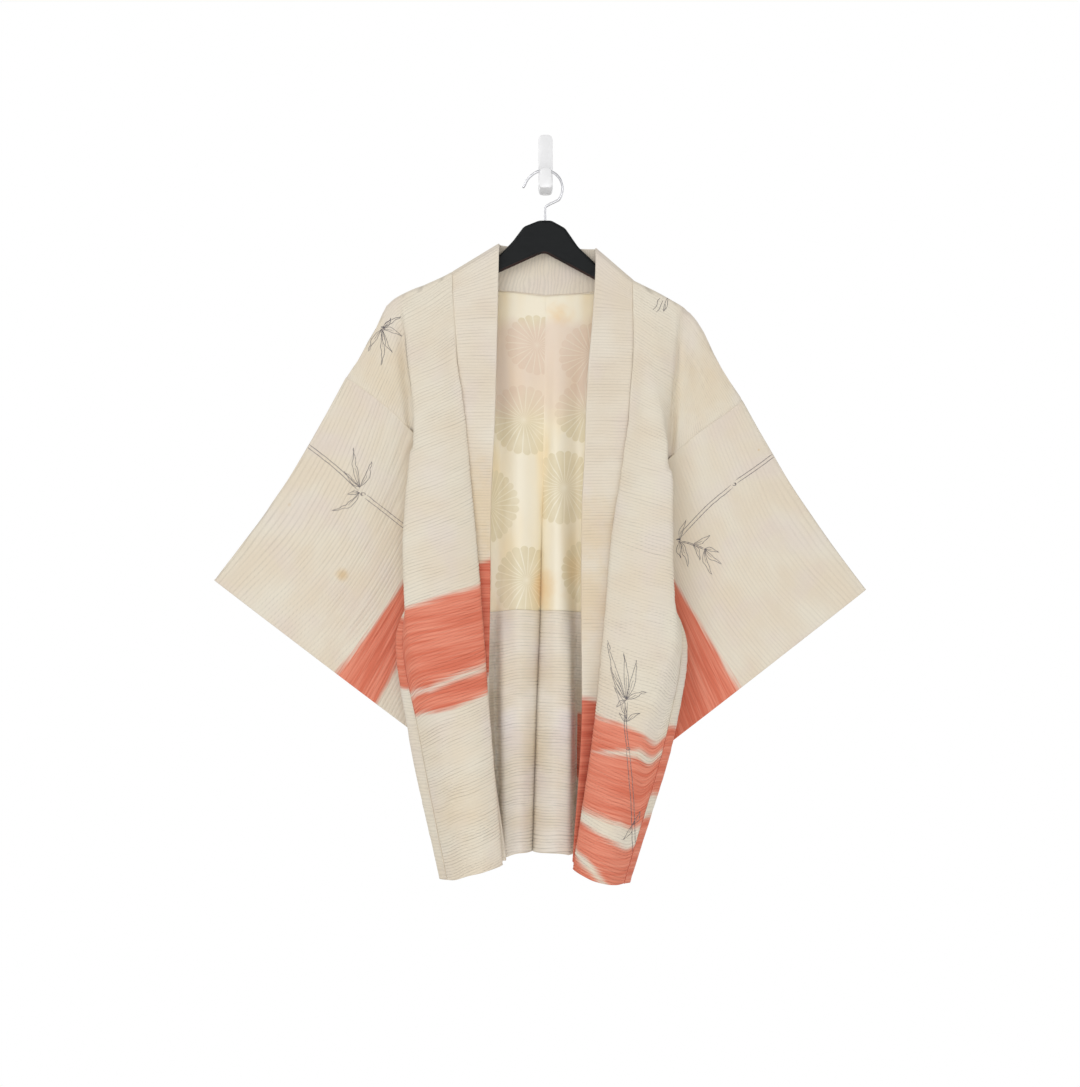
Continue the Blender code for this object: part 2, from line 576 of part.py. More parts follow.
def collar_half(side):
    """Stations from the hem up to the ridge and on to the middle of the back neck."""
    front = collar_lines(side, DROPS)[::-1]
    ridge_z, _, _, ridge_out = COLLAR_EDGE[side]
    neck = back_grid(side)[0, :len(BACK_NECK[side]) * FLANK_STEPS + 1][::-1]
    ridge = np.array([[(ridge_out, RIDGE_FWD, ridge_z), neck[0]]])
    behind = COLLAR_BEHIND[side]
    folded = down_columns([0.0] + [row[0] for row in behind],
                          [(ridge_out, ridge_z, RIDGE_FWD)] + [row[1:] for row in behind],
                          np.arange(1, len(neck)) / (len(neck) - 1))
    stations = [[(out, fwd, z), seam] for (out, z, fwd), seam in zip(folded, neck[1:])]
    return place(np.concatenate([front, ridge, np.array(stations)]), side)


def make_collar():
    right, left = collar_half("right"), collar_half("left")
    band = np.concatenate([right, left[-2::-1]])
    shares = np.linspace(0, 1, FLANK_STEPS + 1)[None, :, None]
    grid = band[:, :1] * (1 - shares) + band[:, 1:] * shares
    sewn_edge = np.full(len(grid), SEAM_GAP / 2)
    for ridge in (len(DROPS), len(grid) - 1 - len(DROPS)):
        sewn_edge[ridge - FLANK_STEPS:ridge + FLANK_STEPS + 1] = NECK_CLEARANCE
    sheet("collar", grid, "crepe", thick=COLLAR, edges=(0, 0, 0, sewn_edge))


def make_hanger():
    outline = [(-out, z) for out, z in HANGER_TOP["right"]][::-1]
    outline += list(HANGER_TOP["left"]) + list(HANGER_LOW["left"])[::-1]
    outline += [(-out, z) for out, z in HANGER_LOW["right"]]
    bm = bmesh.new()
    verts = [bm.verts.new((x * MM, -HANGER_FWD[0] * MM, z * MM)) for x, z in outline]
    face = bm.faces.new(verts)
    grown = bmesh.ops.extrude_face_region(bm, geom=[face])
    moved = [item for item in grown["geom"] if isinstance(item, bmesh.types.BMVert)]
    bmesh.ops.translate(bm, verts=moved, vec=(0, -(HANGER_FWD[1] - HANGER_FWD[0]) * MM, 0))
    bmesh.ops.recalc_face_normals(bm, faces=bm.faces)
    rims = [edge for edge in bm.edges if len(edge.link_faces) == 2
            and any(abs(f.normal.y) > FLAT_FACE for f in edge.link_faces)
            and not all(abs(f.normal.y) > FLAT_FACE for f in edge.link_faces)]
    bmesh.ops.bevel(bm, geom=rims, offset=HANGER_ROUND * MM, segments=ROUND_SEGMENTS,
                    affect="EDGES", profile=0.5)
    bmesh.ops.triangulate(bm, faces=bm.faces)
    add_mesh("hanger_body", bm, "satin_black")


def hook_route():
    """Middle of the wire from the hanger's top round to its tip, (x, z)."""
    centre_x, centre_z = HOOK_TOP[0], HOOK_TOP[1] - HOOK_RADIUS
    route = list(STEM)
    for degrees in BEND:
        angle = math.radians(degrees)
        route.append((centre_x + HOOK_RADIUS * math.cos(angle), centre_z + HOOK_RADIUS * math.sin(angle)))
    return route


def make_hook():
    curve = bpy.data.curves.new("hanger_hook", "CURVE")
    curve.dimensions = "3D"
    curve.bevel_depth = WIRE / 2 * MM
    curve.bevel_resolution = WIRE_FLATS
    curve.use_fill_caps = True
    route = hook_route()
    spline = curve.splines.new("POLY")
    spline.points.add(len(route) - 1)
    for point, (x, z) in zip(spline.points, route):
        point.co = (x * MM, -HOOK_FWD * MM, z * MM, 1)
    obj = bpy.data.objects.new("hanger_hook", curve)
    bpy.context.scene.collection.objects.link(obj)
    finish_object(obj, "steel")


def make_wall_hook():
    """A flat plate with a J-shaped jaw that the wire lies in, as one side outline (fwd, z)."""
    width, thick, height = PLATE
    lip_out = LIP_FWD + LIP
    outline = [(0, height / 2), (thick, height / 2), (thick, SEAT_Z), (LIP_FWD, SEAT_Z),
               (LIP_FWD, SEAT_Z + LIP_RISE), (lip_out, SEAT_Z + LIP_RISE),
               (lip_out, SEAT_Z - LIP_DROP), (lip_out - CHIN[0], SEAT_Z - CHIN[1]),
               (thick, SEAT_Z - JAW_FOOT), (thick, -height / 2),
               (0, -height / 2)]
    bm = bmesh.new()
    face = bm.faces.new([bm.verts.new((-width / 2 * MM, -fwd * MM, z * MM)) for fwd, z in outline])
    grown = bmesh.ops.extrude_face_region(bm, geom=[face])
    moved = [item for item in grown["geom"] if isinstance(item, bmesh.types.BMVert)]
    bmesh.ops.translate(bm, verts=moved, vec=(width * MM, 0, 0))
    bmesh.ops.triangulate(bm, faces=bm.faces)
    add_mesh("wall_hook", bm, "pale_plastic")


def main():
    clear_scene()
    for side in SIDES:
        make_body(side)
    make_collar()
    make_hanger()
    make_hook()
    make_wall_hook()


main()
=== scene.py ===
"""Dresses a haori jacket that hangs on a clothes hanger and a wall hook.

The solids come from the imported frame, and each cloth piece here is a thin shell on its solid's
form. Sizes in the tables are millimetres: "out" is the distance from the centre plane towards
the side, "fwd" the distance from the wall and z the height, with the origin at the middle of
the wall hook's flat back. "right" and "left" are the wearer's, so the right half lies at -X.
"""
import logging
import math
from dataclasses import dataclass, field
from enum import Enum

import bpy
import numpy as np
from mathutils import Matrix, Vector
from numpy import concatenate, interp, stack
from numpy.linalg import norm


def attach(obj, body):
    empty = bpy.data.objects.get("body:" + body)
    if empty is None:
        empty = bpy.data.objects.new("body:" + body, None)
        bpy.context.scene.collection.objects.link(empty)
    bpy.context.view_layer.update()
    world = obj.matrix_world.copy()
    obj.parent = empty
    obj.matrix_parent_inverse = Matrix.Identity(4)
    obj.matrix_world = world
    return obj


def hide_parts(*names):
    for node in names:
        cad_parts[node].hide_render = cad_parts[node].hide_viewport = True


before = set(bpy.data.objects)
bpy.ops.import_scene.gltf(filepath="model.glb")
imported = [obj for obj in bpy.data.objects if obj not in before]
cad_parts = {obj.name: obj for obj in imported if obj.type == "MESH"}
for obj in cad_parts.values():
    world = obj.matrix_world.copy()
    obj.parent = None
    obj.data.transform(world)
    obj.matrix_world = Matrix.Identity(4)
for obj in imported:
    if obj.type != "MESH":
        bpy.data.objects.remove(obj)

Array = np.ndarray
Numbers = Array | tuple | list | range
Piece = bpy.types.Object
Material = bpy.types.Material
LOG = logging.getLogger("haori")
MM = 0.001
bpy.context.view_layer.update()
BODY = "root"

# Walls and seams
CLOTH = 1.2  # crepe panels
LINING = 1.0  # figured silk
COLLAR = 2.4  # the collar is a doubled band
SEAM_GAP = 0.3
LAPPED = COLLAR / 2 + CLOTH / 2 + SEAM_GAP + 0.1  # fronts lie on the collar's edge
LAID_ON = CLOTH / 2 + LINING / 2 + SEAM_GAP  # lining and turn-up on the back

# Lengths down the cloth
FULL_DROP = 802.0  # shoulder to hem
ARMHOLE_DROP = 232.0  # shoulder to underarm
LINING_DROP = 454.0  # shoulder to the lining's lower edge
LINING_TOP = 4.0  # how far below the shoulder the lining starts
LINING_LANES = 5.667  # folds of the back that the lining covers, from the centre
UNDERARM_LAP = 2.0  # the front lies over the sleeve towards the underarm,
LAP_DROPS = (124.0, 199.0)  # growing between these drops
RIDGE_FWD = 29.0  # the fold over the hanger
NECK_TURN = 3.0  # how late the neck edge climbs to the ridge, as a power
NECK_LANES = 4  # folds of the back from the centre to where the collar turns

# Sleeves
SLEEVE_DROP = 490.0  # top fold to bottom fold
UNDERARM_SHARE = 0.47  # armhole over sleeve drop
FREE_EDGE = (0.56, 2.5, -32)  # share down, out and z from the underarm
# Share down the sleeve, then middle surface fwd and half gap at body, mid and cuff
SLEEVE_DEPTH = ((0, (29, 30, 33), (3, 3, 3)), (0.17, (30, 30, 33), (7, 5, 5)),
                (0.33, (29.5, 29, 32), (7.5, 5, 5)), (0.47, (30, 27, 31), (6, 5, 4.5)),
                (0.56, (15, 22, 29), (5, 4.5, 4)), (0.75, (10.5, 12, 22), (4, 4, 2.5)),
                (1, (9, 9, 12), (1.2, 1.2, 1.2)))
FOLD_SHARE = 0.035  # the top fold opens to its full gap within this share
MID_SLEEVE = 0.35
SLEEVE_OUT = (0, 0.1, 0.22, 0.35, 0.5, 0.66, 0.83, 1)

# Grid density
ROW_STEP = 1.0  # between rows of the crepe, fine enough for its ridges
PLAIN_STEP = 3.0  # between rows of the lining
INNER_STEP = 4  # outer rows to each row of a shell's inner face
TOP_ROWS = 6  # rows that round the fold over the hanger
SEAM_COLUMNS = (0.9, 2.6)  # extra columns beside a seam
UNDYED = -200.0  # depth into the dye of bare cloth
LATTICE = 256  # cells of the noise before it repeats


class Side(Enum):
    """The wearer's sides, each with the way that "out" points along x."""

    RIGHT = -1
    LEFT = 1

    @property
    def word(self) -> str:
        """The side as it stands in the names of nodes."""
        return self.name.lower()


class Held(Enum):
    """How a sheet of cloth is held."""

    HUNG = "hung"
    FOLDED = "folded"


@dataclass(frozen=True)
class Cut:
    """Fold lines of one half of the jacket."""

    ridge: tuple  # the fold over the hanger, (out, z)
    collar_front: tuple  # drop, folded edge and sewn edge as (out, fwd)
    collar_edge: tuple  # folded edge's z at ridge, drop 0 and hem, then its out at the ridge
    collar_behind: tuple  # share of the way from ridge to centre, then out, z and fwd
    front_folds: tuple  # drop, then turn, face, crest and valley as (out, fwd)
    front_heights: tuple  # z of seam, turn, face, crest and valley at drop 0 and at the hem
    back_folds: tuple  # drop, then centre and six folds as (out, fwd)
    back_heights: tuple  # z of the same fold lines at drop 0 and at the hem
    back_neck: tuple  # neck edge from the centre to fold 2, (z, fwd)
    side_seam: tuple  # drop, out, z, then fwd on the front and on the back
    gusset_folds: tuple  # drop, z, then front seam, outer fold and back seam as (out, fwd)
    sleeve_corners: tuple  # shoulder, cuff top, cuff bottom and body bottom as (out, z)
    sleeve_sag: float  # how far the sleeve's top fold sags


RIGHT_CUT = Cut(
    ridge=(
        (128.6, -151), (153, -163), (192, -179), (208, -188), (219, -198), (226, -212), (241, -247),
        (273, -294)),
    collar_front=(
        (0, 64, 40, 128, 38), (10, 64.5, 42, 128, 39), (83, 66, 50, 123, 43),
        (165, 68, 55, 119, 47), (232, 70, 58, 122, 52), (262, 71.5, 59, 125, 54),
        (344, 75, 62, 131, 60), (454, 76, 66, 133, 70), (591, 78, 78, 134, 82),
        (802, 54, 92, 108, 98)),
    collar_edge=(-112, -119, -953, 64),
    collar_behind=(
        (0.08, 63.5, -112.5, 21), (0.25, 59, -113.5, 18.5), (0.5, 45, -115, 17), (1, 0, -117, 17)),
    front_folds=(
        (0, 136, 40, 163, 40, 195, 40, 211, 40), (10, 136, 42, 163, 42, 195, 43, 210, 41),
        (83, 128, 47, 155, 51, 191, 51, 180, 42), (165, 115, 53, 150, 60, 181, 60, 164, 43),
        (232, 107, 59, 147, 72, 186, 70, 146, 44), (262, 104, 62, 146, 77, 189, 73, 148, 46),
        (344, 96, 69, 144, 86, 194, 80, 160, 54), (454, 87, 79, 138, 95, 187, 89, 193, 80),
        (591, 77, 91, 110, 107, 143, 103, 162, 92), (802, 59, 108, 83, 126, 106, 121, 122, 109)),
    front_heights=((-157, -160, -174, -187, -197), (-955, -957, -966, -972, -978)),
    back_folds=(
        (0, 0, 18, 35, 18, 67, 18, 97, 19, 129, 20, 166, 20, 212, 20),
        (10, 0, 18.3, 35, 18.6, 67, 18.3, 97, 19, 129, 18.5, 166, 18.5, 209, 19),
        (83, 1, 20, 35, 24, 66, 20, 97, 23, 126, 19, 158, 22, 188, 20),
        (165, 2, 22, 35, 30, 65, 22, 92, 32, 112, 20, 134, 30, 150, 20),
        (232, 3, 24, 35, 37, 62, 24, 79, 42, 93, 21, 104, 36, 118, 22.5),
        (262, 3, 27, 35, 40, 63, 27, 80, 45, 94, 23, 105, 40, 118, 25),
        (344, 5, 33, 36, 48, 65, 33, 90, 50, 109, 27, 126, 50, 136, 34),
        (454, 7, 44, 37, 58, 64, 40, 99, 56, 131, 33, 148, 60, 163, 40),
        (591, 12, 54, 39, 66, 63, 44, 95, 66, 123, 35, 139, 66, 147, 43),
        (802, 18, 60, 39, 71, 59, 46, 79, 76, 96, 36, 109, 72, 120, 46)),
    back_heights=(
        (-184, -180, -177, -176, -158, -174, -197), (-946, -946, -953, -956, -962, -966, -970)),
    back_neck=((-181, 18), (-177, 18), (-174, 18), (-171, 18.5)),
    side_seam=(
        (-1, 273, -294, 29, 29), (0, 272, -297, 32, 26), (10, 266, -301, 34, 24),
        (83, 213.6, -340.3, 37, 23), (165, 161.4, -395.2, 37, 22), (232, 128.5, -446, 36, 24),
        (262, 128, -476, 40, 28)),
    gusset_folds=(
        (232, -446, 128.5, 36, 123, 30, 128.5, 24), (262, -476, 128, 40, 124, 34, 127, 28),
        (344, -553, 155.5, 50, 158, 45, 145, 38), (454, -655, 194, 74, 204, 64, 172, 46),
        (591, -777.5, 173.4, 82, 187.4, 70, 153, 50), (802, -979, 133.5, 98, 144, 82, 128, 54)),
    sleeve_corners=((273, -294), (455, -574), (90, -853), (12, -645)),
    sleeve_sag=9.0)
LEFT_CUT = Cut(
    ridge=(
        (120.3, -162), (130, -167), (163, -183.5), (194, -203), (203, -212), (213, -226),
        (220, -239), (239, -279), (270, -326)),
    collar_front=(
        (0, 69, 40, 120, 38), (10, 69, 42, 120, 39), (83, 65, 50, 121, 43), (165, 58, 55, 115, 47),
        (232, 55, 58, 112, 52), (262, 54, 59, 111, 54), (344, 50, 62, 109, 60),
        (454, 49, 66, 108, 71), (591, 50, 78, 107, 82), (802, 37, 92, 90, 98)),
    collar_edge=(-118, -126, -955, 69),
    collar_behind=(
        (0.08, 68.5, -118.5, 21), (0.25, 63, -118.5, 18.5), (0.5, 48, -118, 17), (1, 0, -117, 17)),
    front_folds=(
        (0, 126, 40, 138, 40, 152, 40, 189, 40), (10, 127, 42, 139, 42, 152, 43, 188, 41),
        (83, 125, 47, 137, 54, 149, 55, 187, 42), (165, 118, 51, 137, 64, 160, 65, 168, 43),
        (232, 108, 59, 140, 74, 171, 72, 146, 44), (262, 104, 62, 139, 78, 173, 75, 145, 46),
        (344, 91, 69, 136, 88, 173, 83, 141, 55), (454, 81, 80, 128, 97, 174, 91, 184, 80),
        (591, 68, 92, 103, 109, 134, 105, 152, 92), (802, 38, 108, 58, 127, 78, 122, 95, 109)),
    front_heights=((-168, -171, -177, -184, -207), (-958, -962, -975, -982, -985)),
    back_folds=(
        (0, 0, 18, 17, 18, 45, 18, 82, 19, 121, 20, 151, 20, 190, 20),
        (10, 0, 18.3, 17, 18.6, 45, 18.3, 82, 19, 121, 18.5, 151, 18.5, 188, 19),
        (83, -1, 20, 16, 24, 45, 20, 81, 23, 118, 19, 146, 22, 176, 20),
        (165, -2, 22, 16, 30, 45, 22, 80, 32, 108, 20, 132, 30, 148, 20),
        (232, -3, 24, 15, 37, 45, 24, 70, 42, 88, 21, 102, 36, 117, 22.5),
        (262, -3, 27, 15, 40, 45, 26, 71, 45, 90, 23, 103, 40, 117, 25),
        (344, -5, 33, 16, 48, 45, 29, 78, 50, 105, 27, 121, 50, 132, 34),
        (454, -7, 44, 17, 58, 45, 32, 77, 56, 111, 33, 134, 60, 152, 40),
        (591, -12, 54, 18, 66, 45, 33, 74, 66, 102, 35, 122, 66, 135, 43),
        (802, -18, 60, 17, 71, 43, 34, 58, 74, 72, 36, 83, 70, 91, 46)),
    back_heights=(
        (-184, -183, -181.5, -179, -168, -184, -207), (-946, -946, -951, -956, -962, -968, -973)),
    back_neck=((-181, 18), (-180, 18), (-178.5, 18), (-175, 18.5)),
    side_seam=(
        (-1, 270, -326, 29, 29), (0, 269, -329, 32, 26), (10, 263, -334, 34, 24),
        (83, 212, -370.5, 37, 23), (165, 160, -417, 37, 22), (232, 129.8, -453, 36, 24),
        (262, 128.5, -483, 40, 28)),
    gusset_folds=(
        (232, -453, 129.8, 36, 124, 30, 129.8, 24), (262, -483, 128.5, 40, 124.5, 34, 127.5, 28),
        (344, -560, 150, 50, 153, 45, 141, 38), (454, -667, 184.4, 74, 193, 64, 164, 46),
        (591, -768, 167.8, 82, 178.4, 70, 147, 50), (802, -984, 106, 98, 114.5, 82, 98, 54)),
    sleeve_corners=((270, -326), (440, -587), (78, -871), (12, -660)),
    sleeve_sag=7.0)
CUTS = {Side.RIGHT: RIGHT_CUT, Side.LEFT: LEFT_CUT}


def bridge(t: Array, start: Array, leave: Array, end: Array, arrive: Array) -> Array:
    """A smooth curve from start to end, for t from 0 to 1, with its directions at both."""
    return ((2 * t**3 - 3 * t**2 + 1) * start + (t**3 - 2 * t**2 + t) * leave
            + (3 * t**2 - 2 * t**3) * end + (t**3 - t**2) * arrive)


def read_down(drops: Numbers, values: Numbers, wanted: Numbers) -> Array:
    """Reads values at other drops on a smooth curve that doesn't overshoot.

    Args:
        drops: where the values are known, rising.
        values: one of any shape for each drop.
        wanted: the drops to read at.

    Returns:
        One for each wanted drop.
    """
    drops, values, wanted = (np.asarray(item, float) for item in (drops, values, wanted))
    shape = (-1,) + (1,) * (values.ndim - 1)
    slopes = np.diff(values, axis=0) / np.diff(drops).reshape(shape)
    tangents = np.zeros_like(values)
    tangents[0], tangents[-1] = slopes[0], slopes[-1]
    same_way = slopes[:-1] * slopes[1:] > 0
    total = np.where(same_way, slopes[:-1] + slopes[1:], 1.0)
    tangents[1:-1] = np.where(same_way, 2 * slopes[:-1] * slopes[1:] / total, 0.0)
    i = np.clip(np.searchsorted(drops, wanted) - 1, 0, len(drops) - 2)
    step = (drops[i + 1] - drops[i]).reshape(shape)
    t = (wanted - drops[i]).reshape(shape) / step
    return bridge(t, values[i], step * tangents[i], values[i + 1], step * tangents[i + 1])


def read_table(table: Numbers, wanted: Numbers) -> Array:
    """Reads a table whose rows start with their drop at other drops."""
    return read_down([row[0] for row in table], [row[1:] for row in table], wanted)


def spread(lines: Array, steps: int, before: Array | None = None, after: Array | None = None) -> Array:
    """Draws smooth curves across fold lines.

    Args:
        lines: the fold lines, (rows, folds, 3).
        steps: points from one fold line to the next.
        before: the neighbour's points before the first one, or nan.
        after: the same beyond the last one.

    Returns:
        Points, (rows, (folds - 1) * steps + 1, 3).
    """
    first, last = 2 * lines[:, 0] - lines[:, 1], 2 * lines[:, -1] - lines[:, -2]
    first = first if before is None else np.where(np.isnan(before), first, before)
    last = last if after is None else np.where(np.isnan(after), last, after)
    ring = concatenate([first[:, None], lines, last[:, None]], axis=1)
    chord = norm(np.diff(ring, axis=1), axis=2, keepdims=True)
    start, end, width = ring[:, 1:-2], ring[:, 2:-1], chord[:, 1:-1]
    leave = (end - ring[:, :-3]) * width / (chord[:, :-2] + width + 1e-9)
    arrive = (ring[:, 3:] - start) * width / (chord[:, 2:] + width + 1e-9)
    t = (np.arange(steps) / steps).reshape(1, 1, -1, 1)
    start, end, leave, arrive = (item[:, :, None] for item in (start, end, leave, arrive))
    curve = bridge(t, start, leave, end, arrive)
    return concatenate([curve.reshape(len(lines), -1, 3), lines[:, -1:]], axis=1)


def noise(x: Array, y: Array, seed: int) -> Array:
    """Smooth noise over a plane, one lattice cell to each unit.

    Args:
        x: first coordinates.
        y: second ones.
        seed: where its random draws start.

    Returns:
        Values from -1 to 1.
    """
    lattice = np.random.default_rng(seed).uniform(-1, 1, (LATTICE, LATTICE))
    column, row = np.floor(x).astype(int), np.floor(y).astype(int)
    u, v = x - column, y - row
    u, v = (t**3 * (t * (t * 6 - 15) + 10) for t in (u, v))

    def along_row(up: int) -> Array:
        """The noise on the lattice's row below the points, or on the one above them."""
        near, far = (lattice[(column + right) % LATTICE, (row + up) % LATTICE] for right in (0, 1))
        return near * (1 - u) + far * u

    return along_row(0) * (1 - v) + along_row(1) * v


def line_distance(x: Array, z: Array, path: tuple) -> tuple[Array, Array]:
    """Finds how far points lie from a bent line.

    Args:
        x: the points' first coordinates.
        z: their second ones.
        path: corners of the line, (x, z).

    Returns:
        Their distances, and the shares of the way along it where they are nearest.
    """
    corners = np.array(path, float)
    lengths = norm(np.diff(corners, axis=0), axis=1)
    begun = concatenate([[0], np.cumsum(lengths)])
    nearest = np.full(x.shape, np.inf)
    share = np.zeros(x.shape)
    for (ax, az), (bx, bz), length, start in zip(corners, corners[1:], lengths, begun):
        t = np.clip(((x - ax) * (bx - ax) + (z - az) * (bz - az)) / length**2, 0, 1)
        away = np.hypot(x - ax - t * (bx - ax), z - az - t * (bz - az))
        closer = away < nearest
        nearest = np.where(closer, away, nearest)
        share = np.where(closer, (start + t * length) / begun[-1], share)
    return nearest, share


@dataclass(frozen=True)
class Crease:
    """A soft ridge along an (x, z) line on the front or the back, or a trough with rise below 0."""

    path: tuple
    width: float
    rise: float

    def lift(self, points: Array) -> Array:
        """How far the crease moves each point out of the cloth."""
        away, share = line_distance(points[..., 0], points[..., 2], self.path)
        taper = np.sin(math.pi * np.clip(0.08 + 0.84 * share, 0, 1)) ** 0.7
        return self.rise * taper * np.exp(-(away / self.width) ** 2)


@dataclass(frozen=True)
class Band:
    """A brushed band of dye between two (lane, drop) lines, or a pale gap left in one."""

    top: tuple
    bottom: tuple
    pale: bool = False

    def depth(self, lane: Array, drop: Array) -> Array:
        """Distance in from the band's nearest edge, below 0 outside it."""
        top = interp(lane, *zip(*self.top))
        bottom = interp(lane, *zip(*self.bottom))
        return np.minimum(drop - top, bottom - drop)


def dye_depth(bands: tuple, lane: Array, drop: Array) -> Array:
    """Distance in from the nearest edge of the dyed cloth, below 0 where it is bare.

    Args:
        bands: the dyed bands, each with its edges.
        lane: place of each point across the cloth.
        drop: depth of each point below the shoulder.

    Returns:
        The distance, one value a point.
    """
    depth = np.full(drop.shape, UNDYED)
    for band in bands:
        inside = band.depth(lane, drop)
        depth = np.minimum(depth, -inside) if band.pale else np.maximum(depth, inside)
    return depth


@dataclass(frozen=True)
class Crinkle:
    """Relief of the crepe: fine ridges that waver along the weft, on long soft ripples."""

    pitch: float = 4.3
    height: float = 0.34
    ripple: float = 0.35
    waver: float = 1.0
    seed: int = 11

    def ridges(self, over: Array, run: Array) -> Array:
        """The fine ridges, from -1 in a valley to 1 on a ridge.

        Args:
            over: place across the ridges.
            run: place along them.

        Returns:
            Their height, one value a point.
        """
        sway = 2.6 * noise(over / 75, run / 40, self.seed)
        sway = sway + 0.6 * noise(over / 20, run / 12, self.seed + 1)
        phase = 2 * math.pi * (run + self.waver * sway) / self.pitch
        phase += 1.5 * noise(over / 260, run / 11, self.seed + 2)
        ridge = 1 - 2 * ((1 - np.sin(phase)) / 2) ** 3
        strength = 0.62 + 0.3 * noise(over / 60, run / 17, self.seed + 3)
        return ridge * (strength + 0.42 * noise(over / 24, run / 6, self.seed + 6))

    def ripples(self, over: Array, run: Array) -> Array:
        """Height of the long ripples."""
        sway = 6 * noise(over / 90, run / 60, self.seed + 4)
        return self.ripple * noise(over / 120, (run + sway) / 8.5, self.seed + 5)


@dataclass
class Panel:
    """A piece of cloth as it hangs, as rows and columns of points."""

    points: Array  # world points in millimetres, (rows, columns, 3)
    lane: Array  # each column's place among the fold lines
    run: Array  # each row's signed distance down the cloth
    over: Array = field(init=False)  # distance across the cloth, (rows, columns)

    def __post_init__(self) -> None:
        """Measures how far across the cloth each point lies."""
        steps = norm(np.diff(self.points, axis=1), axis=2)
        self.over = concatenate([np.zeros((len(steps), 1)), np.cumsum(steps, axis=1)], axis=1)

    @property
    def down(self) -> Array:
        """Each point's distance down the cloth."""
        return np.broadcast_to(self.run[:, None], self.over.shape)

    @property
    def lanes(self) -> Array:
        """Each point's place among the fold lines."""
        return np.broadcast_to(self.lane, self.over.shape)

    def with_seam_columns(self) -> "Panel":
        """The same panel with narrow columns beside its first and last edge."""
        count = self.points.shape[1]
        spacing = self.over[:, -1].mean() / (count - 1)
        extra = [distance / spacing for distance in SEAM_COLUMNS]
        at = np.array(sorted([*range(count), *extra, *(count - 1 - share for share in extra)]), float)
        low = np.minimum(at.astype(int), count - 2)
        share = at - low
        wide = share[:, None]
        points = self.points[:, low] * (1 - wide) + self.points[:, low + 1] * wide
        return Panel(points, self.lane[low] * (1 - share) + self.lane[low + 1] * share, self.run)

    def seam_distance(self, first: bool, last: bool) -> Array:
        """Distance to the nearer of the edges that are seams."""
        to_first = self.over if first else np.inf
        to_last = self.over[:, -1:] - self.over if last else np.inf
        return np.minimum(to_first, to_last)

    def seam_roll(self, first: bool, last: bool) -> Array:
        """How far the cloth turns in at its seams, as a height below 0."""
        return -0.6 * np.exp(-(self.seam_distance(first, last) / 1.3) ** 2)

    def end_fade(self, reach: float) -> Array:
        """Share of the fine relief beside the edges, 0 on a seam and 1 away from it."""
        return 1 - np.exp(-(self.seam_distance(True, True) / reach) ** 2)

    def normals(self) -> Array:
        """Unit normals that face forward in the first half of the rows."""
        normal = np.cross(np.gradient(self.points, axis=0), np.gradient(self.points, axis=1))
        normal /= norm(normal, axis=2, keepdims=True) + 1e-12
        return -normal if normal[:len(normal) // 2, :, 1].sum() > 0 else normal


